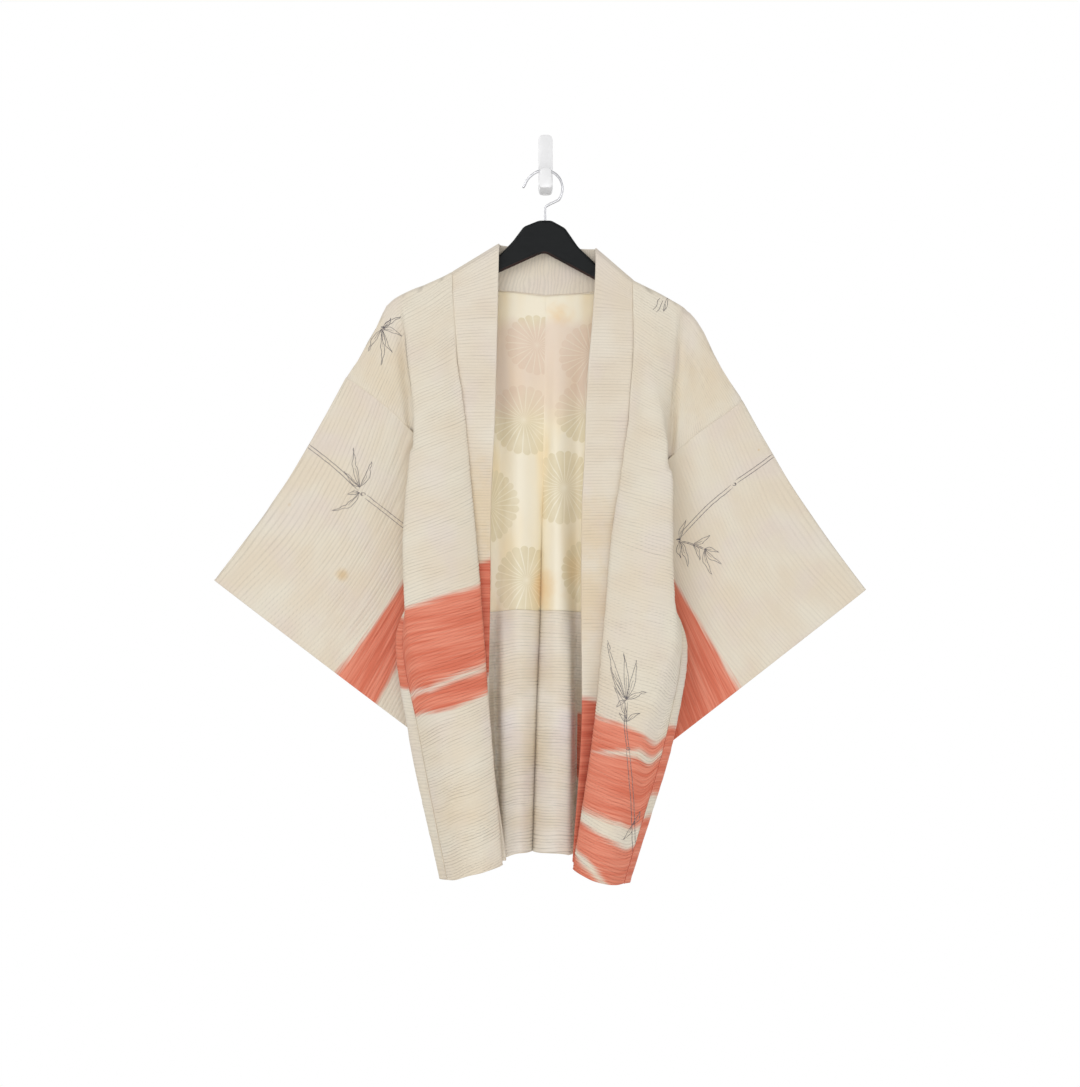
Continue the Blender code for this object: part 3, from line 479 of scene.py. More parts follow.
@dataclass
class Shell:
    """A thin closed wall of cloth, fine on its outer face and plain on its inner one."""

    name: str
    panel: Panel  # its middle surface
    normal: Array  # towards the outer face
    thick: float = CLOTH
    lift: float = 0.0  # how far the wall lies off the panel
    ridges: Array | float = 0.0  # fine relief of the outer face
    ridge_height: float = 0.0
    swell: Array | float = 0.0  # soft relief of both faces
    dye: Array | float = UNDYED  # distance in from the edge of the dyed cloth
    mark: float = 1.0  # how strongly the fine relief shades the cloth

    def build(self) -> Piece:
        """Makes the wall as a mesh object with its cloth coordinates, relief and dye."""
        points, rows, cols = self.panel.points, *self.panel.points.shape[:2]
        layers = (self.ridges, self.swell, self.dye)
        ridges, swell, dye = (np.broadcast_to(layer, (rows, cols)) for layer in layers)
        kept = list(range(0, rows - 1, INNER_STEP)) + [rows - 1]
        rise = self.lift + self.thick / 2 + swell + ridges * self.ridge_height
        outer = points + self.normal * rise[..., None]
        inner = (points + self.normal * (self.lift - self.thick / 2 + swell)[..., None])[kept]
        ring = self._ring(rows, cols)
        r, c = np.array(ring).T
        back_off = points[np.clip(r, 1, rows - 2), np.clip(c, 1, cols - 2)] - points[r, c]
        back_off /= norm(back_off, axis=1, keepdims=True) + 1e-9
        middle = points[r, c] + self.normal[r, c] * (self.lift + swell[r, c])[:, None]
        rim = middle - back_off * self.thick * 0.3
        coords = concatenate([outer.reshape(-1, 3), rim, inner.reshape(-1, 3)]) * MM
        faces = self._faces(rows, cols, kept, ring)
        if self._inside_out(outer):
            faces = [corners[:, ::-1] for corners in faces]
        obj = mesh_object(self.name, coords, faces)

        def spread_out(layer: Array, inner_share: float = 1.0) -> Array:
            """A layer's values on the outer face, the rim and the inner face."""
            return concatenate([layer.ravel(), layer[r, c], layer[kept].ravel() * inner_share])

        facing = np.repeat((0.0, 1.0), (rows * cols + len(ring), len(kept) * cols))
        cloth = [spread_out(self.panel.over), spread_out(self.panel.down), facing]
        add_attribute(obj, "cloth", stack(cloth, axis=1))
        add_attribute(obj, "relief", spread_out(ridges * self.mark, 0.0))
        add_attribute(obj, "dye", spread_out(dye))
        return obj

    def _ring(self, rows: int, cols: int) -> list[tuple[int, int]]:
        """Grid places round the edge, once round."""
        ring = [(0, c) for c in range(cols)] + [(r, cols - 1) for r in range(1, rows)]
        ring += [(rows - 1, c) for c in range(cols - 2, -1, -1)]
        return ring + [(r, 0) for r in range(rows - 2, 0, -1)]

    def _inside_out(self, outer: Array) -> bool:
        """Whether the outer faces would point against the normals."""
        r, c = outer.shape[0] // 2, outer.shape[1] // 2
        facing = np.cross(outer[r, c + 1] - outer[r, c], outer[r + 1, c] - outer[r, c])
        return float(facing @ self.normal[r, c]) < 0

    def _faces(self, rows: int, cols: int, kept: list, ring: list) -> list[Array]:
        """The faces of both sides and the rim.

        Args:
            rows: outer rows.
            cols: columns.
            kept: the outer rows that the inner side has too.
            ring: grid places round the edge.

        Returns:
            An array, (faces, corners), for each number of corners.
        """
        index = np.arange(rows * cols).reshape(rows, cols)
        rim = {place: rows * cols + i for i, place in enumerate(ring)}
        base = rows * cols + len(ring)
        inner = base + np.arange(len(kept) * cols).reshape(len(kept), cols)
        rims = [(index[end], index[start], rim[start], rim[end])
                for start, end in zip(ring, ring[1:] + ring[:1])]
        for c in range(cols - 1):
            rims.append((rim[0, c + 1], rim[0, c], inner[0, c], inner[0, c + 1]))
            rims.append((rim[rows - 1, c], rim[rows - 1, c + 1], inner[-1, c + 1], inner[-1, c]))
        groups = {4: [quads(index), quads(inner)[:, [0, 3, 2, 1]], np.array(rims)]}
        for k, (low, high) in enumerate(zip(kept, kept[1:])):
            climb = [rim[r, cols - 1] for r in range(high, low - 1, -1)]
            fall = [rim[r, 0] for r in range(low, high + 1)]
            for corners in (climb + [inner[k, -1], inner[k + 1, -1]],
                            fall + [inner[k + 1, 0], inner[k, 0]]):
                groups.setdefault(len(corners), []).append(np.array([corners]))
        return [concatenate(found) for found in groups.values()]


def quads(grid: Array) -> Array:
    """Four-cornered faces of a grid of point numbers."""
    return stack([grid[:-1, :-1], grid[:-1, 1:], grid[1:, 1:], grid[1:, :-1]], axis=-1).reshape(-1, 4)


def tube_quads(rings: Array) -> Array:
    """Four-cornered faces between closed rings of point numbers."""
    return quads(concatenate([rings, rings[:, :1]], axis=1))


def link_object(name: str, data: bpy.types.ID) -> Piece:
    """Puts a mesh, light or camera into the scene."""
    obj = bpy.data.objects.new(name, data)
    bpy.context.scene.collection.objects.link(obj)
    return obj


def mesh_object(name: str, coords: Array, faces: list[Array]) -> Piece:
    """Makes a smooth mesh object.

    Args:
        name: its name.
        coords: its points in metres.
        faces: arrays of point numbers, one for each number of corners.

    Returns:
        The object.
    """
    mesh = bpy.data.meshes.new(name)
    mesh.vertices.add(len(coords))
    mesh.vertices.foreach_set("co", coords.astype(np.float32).ravel())
    corners = concatenate([group.ravel() for group in faces]).astype(np.int32)
    sizes = concatenate([np.full(len(group), group.shape[1]) for group in faces])
    starts = concatenate([[0], np.cumsum(sizes)[:-1]]).astype(np.int32)
    mesh.loops.add(len(corners))
    mesh.loops.foreach_set("vertex_index", corners)
    mesh.polygons.add(len(starts))
    mesh.polygons.foreach_set("loop_start", starts)
    mesh.update(calc_edges=True)
    mesh.validate()
    mesh.shade_smooth()
    return link_object(name, mesh)


def add_attribute(obj: Piece, name: str, values: Array) -> None:
    """Stores a number or a vector on each point of a mesh."""
    kind, word = ("FLOAT", "value") if values.ndim == 1 else ("FLOAT_VECTOR", "vector")
    layer = obj.data.attributes.new(name, kind, "POINT")
    layer.data.foreach_set(word, values.astype(np.float32).ravel())


@dataclass(frozen=True)
class Pattern:
    """Works out where the cloth of one half hangs."""

    side: Side

    @property
    def cut(self) -> Cut:
        """The fold lines of this half."""
        return CUTS[self.side]

    def world(self, points: Array) -> Array:
        """Turns (out, fwd, z) into world x, y and z, in millimetres."""
        return stack([self.side.value * points[..., 0], -points[..., 1], points[..., 2]], axis=-1)

    def heights(self, table: tuple, drops: Array) -> Array:
        """Heights of fold lines at each drop."""
        top, hem = np.array(table, float)
        return top + (hem - top) * (drops[:, None] / FULL_DROP)

    def ridge(self, level: Array) -> Array:
        """The fold over the hanger above a level row of points."""
        outs, heights = zip(*self.cut.ridge)
        z = read_down(outs, heights, np.clip(level[:, 0], outs[0], outs[-1]))
        return stack([level[:, 0], np.full(len(level), RIDGE_FWD), z], axis=1)

    def side_line(self, drops: Array, behind: int) -> Array:
        """Armhole seam and side seam as one line from drop -1 at the ridge.

        Args:
            drops: where to read it.
            behind: 0 for the front's seam, 1 for the back's.

        Returns:
            (out, fwd, z) for each drop.
        """
        rows = [(row[0], row[1], row[3 + behind], row[2]) for row in self.cut.side_seam]
        rows += [(row[0], *row[2 + 4 * behind:4 + 4 * behind], row[1])
                 for row in self.cut.gusset_folds if row[0] > rows[-1][0]]
        return read_table(rows, drops)

    def gusset_fold(self, drops: Array) -> Array:
        """The gusset's outer fold, (out, fwd, z), with nan above the underarm."""
        fold = read_table([(row[0], *row[4:6], row[1]) for row in self.cut.gusset_folds], drops)
        return np.where(drops[:, None] < ARMHOLE_DROP, np.nan, fold)

    def collar_lines(self, drops: Array) -> Array:
        """Folded and sewn edge of the collar down the front, (rows, 2, 3).

        Args:
            drops: depths below the shoulder.

        Returns:
            The two edges at each depth.
        """
        pairs = read_table(self.cut.collar_front, drops).reshape(-1, 2, 2)
        _, top, hem, _ = self.cut.collar_edge
        folded = top + (hem - top) * drops / FULL_DROP
        sewn = self.heights(self.cut.front_heights, drops)[:, 0]
        return concatenate([pairs, stack([folded, sewn], axis=1)[..., None]], axis=2)

    def front_lines(self, drops: Array) -> Array:
        """Fold lines of the front from the collar seam to the side seam, (rows, 6, 3).

        Args:
            drops: depths below the shoulder.

        Returns:
            The fold lines at each depth.
        """
        folds = read_table(self.cut.front_folds, drops).reshape(len(drops), -1, 2)
        seam = self.collar_lines(drops)[:, 1:, :2] + (0, LAPPED)
        z = self.heights(self.cut.front_heights, drops)[..., None]
        lines = concatenate([concatenate([seam, folds], axis=1), z], axis=2)
        return concatenate([lines, self.side_line(drops, 0)[:, None]], axis=1)

    def back_lines(self, drops: Array) -> Array:
        """Fold lines of the back from the centre seam to the side seam, (rows, 8, 3)."""
        z = self.heights(self.cut.back_heights, drops)[..., None]
        folds = read_table(self.cut.back_folds, drops).reshape(len(drops), -1, 2)
        lines = concatenate([folds, z], axis=2)
        return concatenate([lines, self.side_line(drops, 1)[:, None]], axis=1)

    def over_the_top(self, ridge: Array, level: Array) -> Array:
        """Rows that round the fold over the hanger, from the ridge to the first level row."""
        turn = np.linspace(0, math.pi / 2, TOP_ROWS + 1)[:-1, None, None]
        share = concatenate([np.sin(turn), np.sin(turn), 1 - np.cos(turn)], axis=2)
        return ridge + share * (level - ridge)

    def fronts(self, drops: Array, steps: int) -> Array:
        """Points of the front panel, the rounded fold over the hanger included."""
        grid = spread(self.front_lines(drops), steps, after=self.gusset_fold(drops))
        return concatenate([self.over_the_top(self.ridge(grid[0]), grid[0]), grid])

    def neck_edge(self, level: Array, lane: Array) -> Array:
        """The back panel's top edge: the neck seam, then the fold over the hanger.

        Args:
            level: the panel's first level row.
            lane: each point's place among the fold lines.

        Returns:
            (out, fwd, z) above each point.
        """
        edge = self.ridge(level)
        z, fwd = zip(*self.cut.back_neck)
        turn = np.clip(lane - len(z) + 1, 0, 1) ** NECK_TURN
        corner = int(np.searchsorted(lane, NECK_LANES))
        for axis, values in ((1, fwd), (2, z)):
            along = interp(lane, range(len(values)), values)
            climbing = along + turn * (edge[corner, axis] - along)
            edge[:, axis] = np.where(lane < NECK_LANES, climbing, edge[:, axis])
        return edge

    def backs(self, drops: Array, steps: int) -> Array:
        """Points of the back panel, the rounded fold over the hanger included.

        Args:
            drops: depths below the shoulder.
            steps: points between two fold lines.

        Returns:
            The points, row by row.
        """
        lines = self.back_lines(drops)
        mirrored = lines[:, 1].copy()
        mirrored[:, 0] = 2 * lines[:, 0, 0] - lines[:, 1, 0]
        grid = spread(lines, steps, before=mirrored, after=self.gusset_fold(drops))
        edge = self.neck_edge(grid[0], np.arange(grid.shape[1]) / steps)
        return concatenate([self.over_the_top(edge, grid[0]), grid])

    def gussets(self, drops: Array, steps: int) -> Array:
        """Points of the gusset from the front seam round its outer fold to the back seam."""
        lines = stack([self.side_line(drops, 0), self.gusset_fold(drops), self.side_line(drops, 1)],
                         axis=1)
        return spread(lines, steps, before=self.front_lines(drops)[:, -2],
                      after=self.back_lines(drops)[:, -2])

    def sleeves(self, shares: Array, outs: Array) -> Array:
        """Points of the sleeve from the front's bottom over the top to the back's bottom.

        Args:
            shares: shares of the way down from the top fold.
            outs: shares of the way out to the cuff.

        Returns:
            Points, (2 * shares - 1, outs, 3).
        """
        drops = np.arange(-1, ARMHOLE_DROP + 0.5)
        armholes = self.side_line(drops, 0), self.side_line(drops, 1)
        steps = norm(np.diff(armholes[0][:, [0, 2]], axis=0), axis=1)
        reached = concatenate([[0], np.cumsum(steps)]) * UNDERARM_SHARE / steps.sum()
        underarm = armholes[0][-1, [0, 2]]
        share, out, z = FREE_EDGE
        corners = [np.array(point, float) for point in self.cut.sleeve_corners]
        knots = [underarm, underarm + (out, z), corners[3]]
        free = read_down((UNDERARM_SHARE, share, 1), knots, shares)
        sewn = shares <= UNDERARM_SHARE
        drop = interp(shares, reached, drops)
        edge = np.where(sewn[:, None], self.side_line(drop, 0)[:, [0, 2]], free)
        depth = np.moveaxis(read_table(SLEEVE_DEPTH, shares), 2, 0)
        depth = read_down((0, MID_SLEEVE, 1), depth, SLEEVE_OUT)
        cuff = corners[1] + shares[:, None] * (corners[2] - corners[1])
        along = corners[1] - edge[0]
        inward = np.array([along[1], -along[0]]) / norm(along)
        out_share = np.array(SLEEVE_OUT)[:, None, None]
        sag = self.cut.sleeve_sag * np.sin(math.pi * out_share) * (1 - shares)[:, None]
        flat = edge + out_share * (cuff - edge) + inward * sag
        opened = np.minimum(1, np.sqrt(shares / FOLD_SHARE))
        layers = []
        for behind, way in enumerate((1, -1)):
            fwd = depth[..., 0] + way * depth[..., 1] * opened
            layer = stack([flat[..., 0], fwd, flat[..., 1]], axis=-1)
            seam = self.side_line(drop, behind)
            if way > 0:
                seam[:, 1] -= interp(drop, LAP_DROPS, (0, UNDERARM_LAP))
            layer[0] = np.where(sewn[:, None], seam, layer[0])
            layers.append(np.moveaxis(read_down(SLEEVE_OUT, layer, outs), 0, 1))
        return concatenate([layers[0][::-1], layers[1][1:]])

    def collar_stations(self) -> tuple[Array, Array]:
        """Pairs of folded and sewn edge from the hem up to the centre of the neck.

        Returns:
            World points, (stations, 2, 3), and each station's drop, below 0 behind the ridge.
        """
        drops = concatenate([np.arange(FULL_DROP, 40, -20), (40, 26, 16, 10, 5, 0)])
        front = self.collar_lines(drops)
        level = np.array([0.0])
        lanes = np.arange(NECK_LANES * 6 + 1) / 6
        lines = spread(self.back_lines(level), 6)[:, :len(lanes)]
        neck = self.neck_edge(lines[0], lanes)[::-1]
        ridge_z, _, _, ridge_out = self.cut.collar_edge
        behind = [(0.0, ridge_out, ridge_z, RIDGE_FWD), *self.cut.collar_behind]
        folded = read_table(behind, np.arange(len(neck)) / (len(neck) - 1))[:, [0, 2, 1]]
        pairs = concatenate([front, stack([folded, neck], axis=1)])
        return self.world(pairs), concatenate([drops, np.full(len(neck), -1.0)])
class Wire:
    """A node's output, which takes part in sums, products and ramps."""

    def __init__(self, graph: "Graph", socket: bpy.types.NodeSocket) -> None:
        """Stands for one output in a graph."""
        self.graph, self.socket = graph, socket

    def __add__(self, other: "Value") -> "Wire":
        """The sum of two values."""
        return self.graph.math("ADD", self, other)

    def __sub__(self, other: "Value") -> "Wire":
        """The difference of two values."""
        return self.graph.math("SUBTRACT", self, other)

    def __mul__(self, other: "Value") -> "Wire":
        """The product of two values."""
        return self.graph.math("MULTIPLY", self, other)

    def __truediv__(self, other: "Value") -> "Wire":
        """The quotient of two values."""
        return self.graph.math("DIVIDE", self, other)

    def ramp(self, start: float, end: float, low: float = 0.0, high: float = 1.0,
             way: str = "SMOOTHSTEP") -> "Wire":
        """This value, mapped from start..end to low..high."""
        mapped = self.graph.add("MapRange", self, start, end, low, high, interpolation_type=way)
        return self.graph.wire(mapped)


Value = Wire | float | tuple


class Graph:
    """Short calls that add nodes to a tree and link them."""

    def __init__(self, tree: bpy.types.NodeTree) -> None:
        """Works on one node tree."""
        self.tree = tree

    def add(self, kind: str, *inputs, **settings) -> bpy.types.Node:
        """Adds a node.

        Args:
            kind: the node's type name without "ShaderNode".
            inputs: what its first inputs get.
            settings: its properties by name.

        Returns:
            The node.
        """
        node = self.tree.nodes.new("ShaderNode" + kind)
        for name, value in settings.items():
            setattr(node, name, value)
        for socket, value in zip(node.inputs, inputs):
            self.feed(socket, value)
        return node

    def wire(self, node: bpy.types.Node, output: int | str = 0) -> Wire:
        """One output of a node."""
        return Wire(self, node.outputs[output])

    def feed(self, socket: bpy.types.NodeSocket, value: Value) -> None:
        """Links a wire into an input, or sets its value, with colours from 0 to 255.

        Args:
            socket: the input to fill.
            value: a wire, a number, a colour or a vector.
        """
        if isinstance(value, Wire):
            self.tree.links.new(value.socket, socket)
        else:
            on_screen = socket.type == "RGBA" and len(value) == 3
            socket.default_value = linear(*value) if on_screen else value

    def fill(self, node: bpy.types.Node, values: dict) -> None:
        """Feeds a node's inputs by name."""
        for name, value in values.items():
            self.feed(node.inputs[name], value)

    def math(self, operation: str, first: Value, second: Value = 0.0) -> Wire:
        """Result of a Math node."""
        return self.wire(self.add("Math", first, second, operation=operation))

    def noise(self, vector: Wire, by: tuple, detail: float = 2.0) -> Wire:
        """Noise from 0 to 1 whose cells are 1 / by along each axis."""
        node = self.add("TexNoise", self.wire(self.add("VectorMath", vector, by, operation="MULTIPLY")))
        self.fill(node, {"Scale": 1.0, "Detail": detail})
        return self.wire(node, "Fac")

    def mix(self, share: Value, first: Value, second: Value, way: str = "MIX") -> Wire:
        """Mix of two colours."""
        node = self.add("Mix", share, data_type="RGBA", blend_type=way)
        self.feed(node.inputs[6], first)
        self.feed(node.inputs[7], second)
        return self.wire(node, 2)

    def axes(self, vector: Wire) -> list[Wire]:
        """The three parts of a vector."""
        node = self.add("SeparateXYZ", vector)
        return [self.wire(node, axis) for axis in range(3)]

    def attribute(self, name: str, output: str = "Fac") -> Wire:
        """A value that the mesh's points hold."""
        return self.wire(self.add("Attribute", attribute_name=name), output)

    def place(self) -> Wire:
        """The place on the object, in metres."""
        return self.wire(self.add("TexCoord"), "Object")

    def group(self, tree: bpy.types.NodeTree, **values) -> list[Wire]:
        """Places a node group, feeds its inputs by name and gives its outputs."""
        node = self.add("Group", node_tree=tree)
        self.fill(node, values)
        return [Wire(self, socket) for socket in node.outputs]


class Paint(Graph):
    """The graph of a new material."""

    def __init__(self, name: str) -> None:
        """Makes the material."""
        self.material = bpy.data.materials.new(name)
        self.material.use_nodes = True
        super().__init__(self.material.node_tree)

    def done(self, values: dict, height: Wire | None = None, rise: float = 0.0,
             share: float = 1.0) -> Material:
        """Feeds the shader.

        Args:
            values: what its inputs get, by name.
            height: the height of its bump.
            rise: how high 1.0 is, in metres.
            share: share of the bump that shows.

        Returns:
            The material.
        """
        shader = self.tree.nodes["Principled BSDF"]
        self.fill(shader, values)
        if height is not None:
            bump = self.add("Bump")
            self.fill(bump, {"Strength": share, "Distance": rise, "Height": height})
            self.feed(shader.inputs["Normal"], self.wire(bump))
        return self.material


def linear(red: int, green: int, blue: int) -> tuple[float, float, float, float]:
    """A colour as it looks on a screen, from 0 to 255, as light."""
    shares = [value / 255 for value in (red, green, blue)]
    light = [s / 12.92 if s <= 0.04045 else ((s + 0.055) / 1.055) ** 2.4 for s in shares]
    return (*light, 1.0)


def new_group(name: str, inputs: dict, outputs: tuple) -> tuple[Graph, list[Wire], bpy.types.Node]:
    """Starts a shader node group.

    Args:
        name: the group's name.
        inputs: socket types by name.
        outputs: names of its values.

    Returns:
        Its graph, its inputs, and the node that takes its values.
    """
    graph = Graph(bpy.data.node_groups.new(name, "ShaderNodeTree"))
    for sockets, way in ((inputs, "INPUT"), (dict.fromkeys(outputs, "Float"), "OUTPUT")):
        for word, kind in sockets.items():
            graph.tree.interface.new_socket(word, in_out=way, socket_type="NodeSocket" + kind)
    entry, leave = (graph.tree.nodes.new("NodeGroup" + way) for way in ("Input", "Output"))
    return graph, [graph.wire(entry, word) for word in inputs], leave


class Effects:
    """Node groups that several materials use, each built once."""

    def __init__(self) -> None:
        """Builds every group."""
        self.brushed = self._brushed()
        self.grain = self._grain()
        self.stain = self._stain()
        self.flower = self._flower()

    @staticmethod
    def _brushed() -> bpy.types.NodeTree:
        """Brushed dye: a mask whose edge feathers along the brush's way."""
        inputs = {"Cloth": "Vector", "Depth": "Float"}
        graph, (cloth, depth), result = new_group("brushed dye", inputs, ("Mask", "Streak"))
        drift = graph.noise(cloth, (1 / 46, 1 / 18, 1))
        streak = graph.noise(cloth, (1 / 85, 1 / 2.6, 1), 3.0)
        feathered = (streak - 0.5) * 13.0 + ((drift - 0.5) * 9.0 + depth)
        graph.fill(result, {"Mask": feathered.ramp(-5.0, 7.0), "Streak": streak})
        return graph.tree

    @staticmethod
    def _grain() -> bpy.types.NodeTree:
        """Crepe texture: painted shade in the valleys of the fine ridges and in stripes on the inner
        face, a tone of twisted threads, and a fine height for bump.
        """
        inputs = {"Cloth": "Vector", "Relief": "Float"}
        graph, (cloth, relief), result = new_group("crepe grain", inputs, ("Shade", "Height"))
        threads = graph.noise(cloth, (1 / 3.2, 1 / 0.8, 1))
        pebble = graph.noise(cloth, (1 / 1.3, 1 / 1.1, 1), 1.0)
        _, down, inner_face = graph.axes(cloth)
        stray = graph.noise(cloth, (1 / 30, 1 / 14, 1))
        inner = graph.math("SINE", stray * 16.0 + down * 1.3) * 0.35 * inner_face
        # Painted shade: the colour darkens in the ridges' valleys and in the inner face's stripes.
        valley = (relief + inner).ramp(-1.7, 0.4, 0.66, 1.01)
        graph.fill(result, {"Shade": valley * threads.ramp(0.2, 0.8, 0.975, 1.02),
                            "Height": inner * 0.8 + (threads * 0.6 + pebble)})
        return graph.tree

    @staticmethod
    def _stain() -> bpy.types.NodeTree:
        """A soft uneven spot round a place, in metres."""
        inputs = {"Place": "Vector", "Centre": "Vector", "Radius": "Float"}
        graph, (place, centre, radius), result = new_group("old stain", inputs, ("Mask",))
        away = graph.wire(graph.add("VectorMath", place, centre, operation="DISTANCE"), "Value")
        wobble = (graph.noise(place, (70, 70, 70)) - 0.5) * 0.7
        graph.fill(result, {"Mask": (wobble + away / radius).ramp(1.05, 0.1)})
        return graph.tree

    @staticmethod
    def _flower() -> bpy.types.NodeTree:
        """A woven chrysanthemum: petals with round tips, and the pale lines between them."""
        numbers = ("Across", "Down", "Radius", "Petals", "Turn")
        inputs = {"Cloth": "Vector"} | dict.fromkeys(numbers, "Float")
        graph, given, result = new_group("woven chrysanthemum", inputs, ("Petal", "Line"))
        cloth, across, down, radius, petals, turn = given
        x, y, _ = graph.axes(cloth)
        x, y = x - across, y - down
        away = graph.math("SQRT", x * x + y * y)
        reach, half_petals = away / radius, petals * 0.5
        angle = graph.math("ARCTAN2", y, x) + turn
        lobe = graph.math("ABSOLUTE", graph.math("COSINE", angle * half_petals))
        inside = (graph.math("POWER", lobe, 0.45) * 0.13 + 0.87 - reach).ramp(0.0, 0.02)
        slim = reach.ramp(0.0, 0.55, 0.15, 1.0)
        petal = inside * (away * lobe / half_petals / slim).ramp(0.35, 1.0)
        heart = reach.ramp(0.03, 0.16, 0.5, 1.0)
        graph.fill(result, {"Petal": petal * heart, "Line": inside - petal})
        return graph.tree

    def stained(self, graph: Graph, colour: Wire, spots: tuple) -> Wire:
        """Lays stains and painted shade over a colour.

        Args:
            graph: the material's graph.
            colour: the clean colour.
            spots: the stains and the patches of painted shade.

        Returns:
            The colour with its stains and painted shade.
        """
        for spot in spots:
            x, z = spot.place
            mask, = graph.group(self.stain, Place=graph.place(), Radius=spot.radius * MM,
                                Centre=(x * MM, -spot.fwd * MM, z * MM))
            colour = graph.mix(mask * spot.strength, colour, spot.colour)
        return colour


@dataclass(frozen=True)
class Spot:
    """A soft patch of colour: its place as (x, z), its fwd and its radius. The lining's and the
    sleeves' are stains, the collar's are painted warm shade, and the fronts' are warm patches.
    """

    place: tuple
    fwd: float
    radius: float
    colour: tuple = (214, 176, 112)
    strength: float = 0.5


@dataclass(frozen=True)
class CrepeFinish:
    """Cream silk crepe in a pale and a warm tone with a faint blush, and brushed coral dye."""

    name: str
    pale: tuple = (233, 225, 208)
    warm: tuple = (230, 217, 196)
    blush: tuple = (226, 211, 208)
    blush_share: float = 0.35
    coral: tuple = (236, 148, 122)
    deep_coral: tuple = (219, 117, 90)
    spots: tuple = ()

    def build(self, effects: Effects) -> Material:
        """Makes the material.

        Args:
            effects: the shared node groups.

        Returns:
            The material.
        """
        graph = Paint(self.name)
        cloth = graph.attribute("cloth", "Vector")
        shade, height = graph.group(effects.grain, Cloth=cloth, Relief=graph.attribute("relief"))
        dyed, streak = graph.group(effects.brushed, Cloth=cloth, Depth=graph.attribute("dye"))
        cream = graph.mix(graph.noise(cloth, (1 / 95, 1 / 70, 1)).ramp(0.3, 0.7), self.pale, self.warm)
        tint = graph.noise(cloth, (1 / 60, 1 / 110, 2)).ramp(0.45, 0.75, 0.0, self.blush_share)
        cream = effects.stained(graph, graph.mix(tint, cream, self.blush), self.spots)
        deep = (graph.noise(cloth, (1 / 150, 1 / 12, 1), 3.0) + streak).ramp(0.75, 1.2)
        colour = graph.mix(dyed, cream, graph.mix(deep, self.coral, self.deep_coral))
        # The painted valley shade, multiplied into the colour.
        painted_valley_shade = graph.wire(graph.add("CombineColor", shade, shade, shade))
        return graph.done({"Base Color": graph.mix(1.0, colour, painted_valley_shade, "MULTIPLY"),
                           "Roughness": height.ramp(0.3, 1.3, 0.66, 0.8), "Specular IOR Level": 0.3,
                           "Sheen Weight": 0.12, "Sheen Roughness": 0.45}, height, 0.0004, 0.5)


@dataclass(frozen=True)
class Flower:
    """A woven chrysanthemum: where the lining hangs at (x, z), its radius, petals and turn."""

    place: tuple
    radius: float
    petals: int
    turn: float


@dataclass(frozen=True)
class LiningFinish:
    """Pale yellow figured silk with tone-on-tone chrysanthemums and a dyed pink zone."""

    name: str
    ground: tuple = (248, 239, 217)
    gold: tuple = (246, 227, 188)
    petal: tuple = (229, 216, 182)
    line: tuple = (242, 234, 211)
    pink: tuple = (233, 208, 190)
    pink_petal: tuple = (224, 196, 172)
    spots: tuple = ()

    def build(self, effects: Effects, flowers: list) -> Material:
        """Makes the material.

        Args:
            effects: the shared node groups.
            flowers: each flower with its place on the cloth.

        Returns:
            The material.
        """
        graph = Paint(self.name)
        cloth, place = graph.attribute("cloth", "Vector"), graph.place()
        golden = graph.noise(cloth, (1 / 40, 1 / 160, 1)).ramp(0.4, 0.75)
        colour = graph.mix(golden, self.ground, self.gold)
        height = graph.noise(place, (16, 16, 16)) * 0.07 + graph.axes(place)[2]
        zone = height.ramp(-0.20, -0.17, 1.0, 0.0) * height.ramp(-0.33, -0.27)
        colour = graph.mix(zone * 0.62, colour, self.pink)
        petals, lines = 0.0, 0.0
        for flower, across, down in flowers:
            petal, line = graph.group(effects.flower, Cloth=cloth, Across=across, Down=down,
                                      Radius=flower.radius, Petals=flower.petals, Turn=flower.turn)
            petals, lines = graph.math("MAXIMUM", petal, petals), graph.math("MAXIMUM", line, lines)
        worn = graph.noise(cloth, (1 / 30, 1 / 45, 1)).ramp(0.25, 0.65, 0.55, 1.0)
        worn = worn * zone.ramp(0.0, 1.0, 0.85, 0.45)
        colour = graph.mix(petals * worn, colour, graph.mix(zone, self.petal, self.pink_petal))
        colour = effects.stained(graph, graph.mix(lines * 0.25, colour, self.line), self.spots)
        weave = graph.noise(cloth, (1 / 0.5, 1 / 2.4, 1), 1.0)
        rough = petals * 0.16 + weave.ramp(0.2, 0.8, 0.4, 0.5)
        return graph.done({"Base Color": colour, "Roughness": rough, "Specular IOR Level": 0.4,
                           "Sheen Weight": 0.1}, petals * 0.8 + weave, 0.0002, 0.5)


@dataclass(frozen=True)
class InkFinish:
    """Thin brush ink that breaks up over the crepe's ridges."""

    name: str
    colour: tuple = (98, 93, 98)
    dry: tuple = (160, 149, 142)

    def build(self) -> Material:
        """Makes the material."""
        graph = Paint(self.name)
        share = graph.noise(graph.place(), (260, 260, 420)).ramp(0.42, 0.68)
        return graph.done({"Base Color": graph.mix(share, self.colour, self.dry),
                           "Roughness": share.ramp(0.0, 1.0, 0.7, 0.85)})


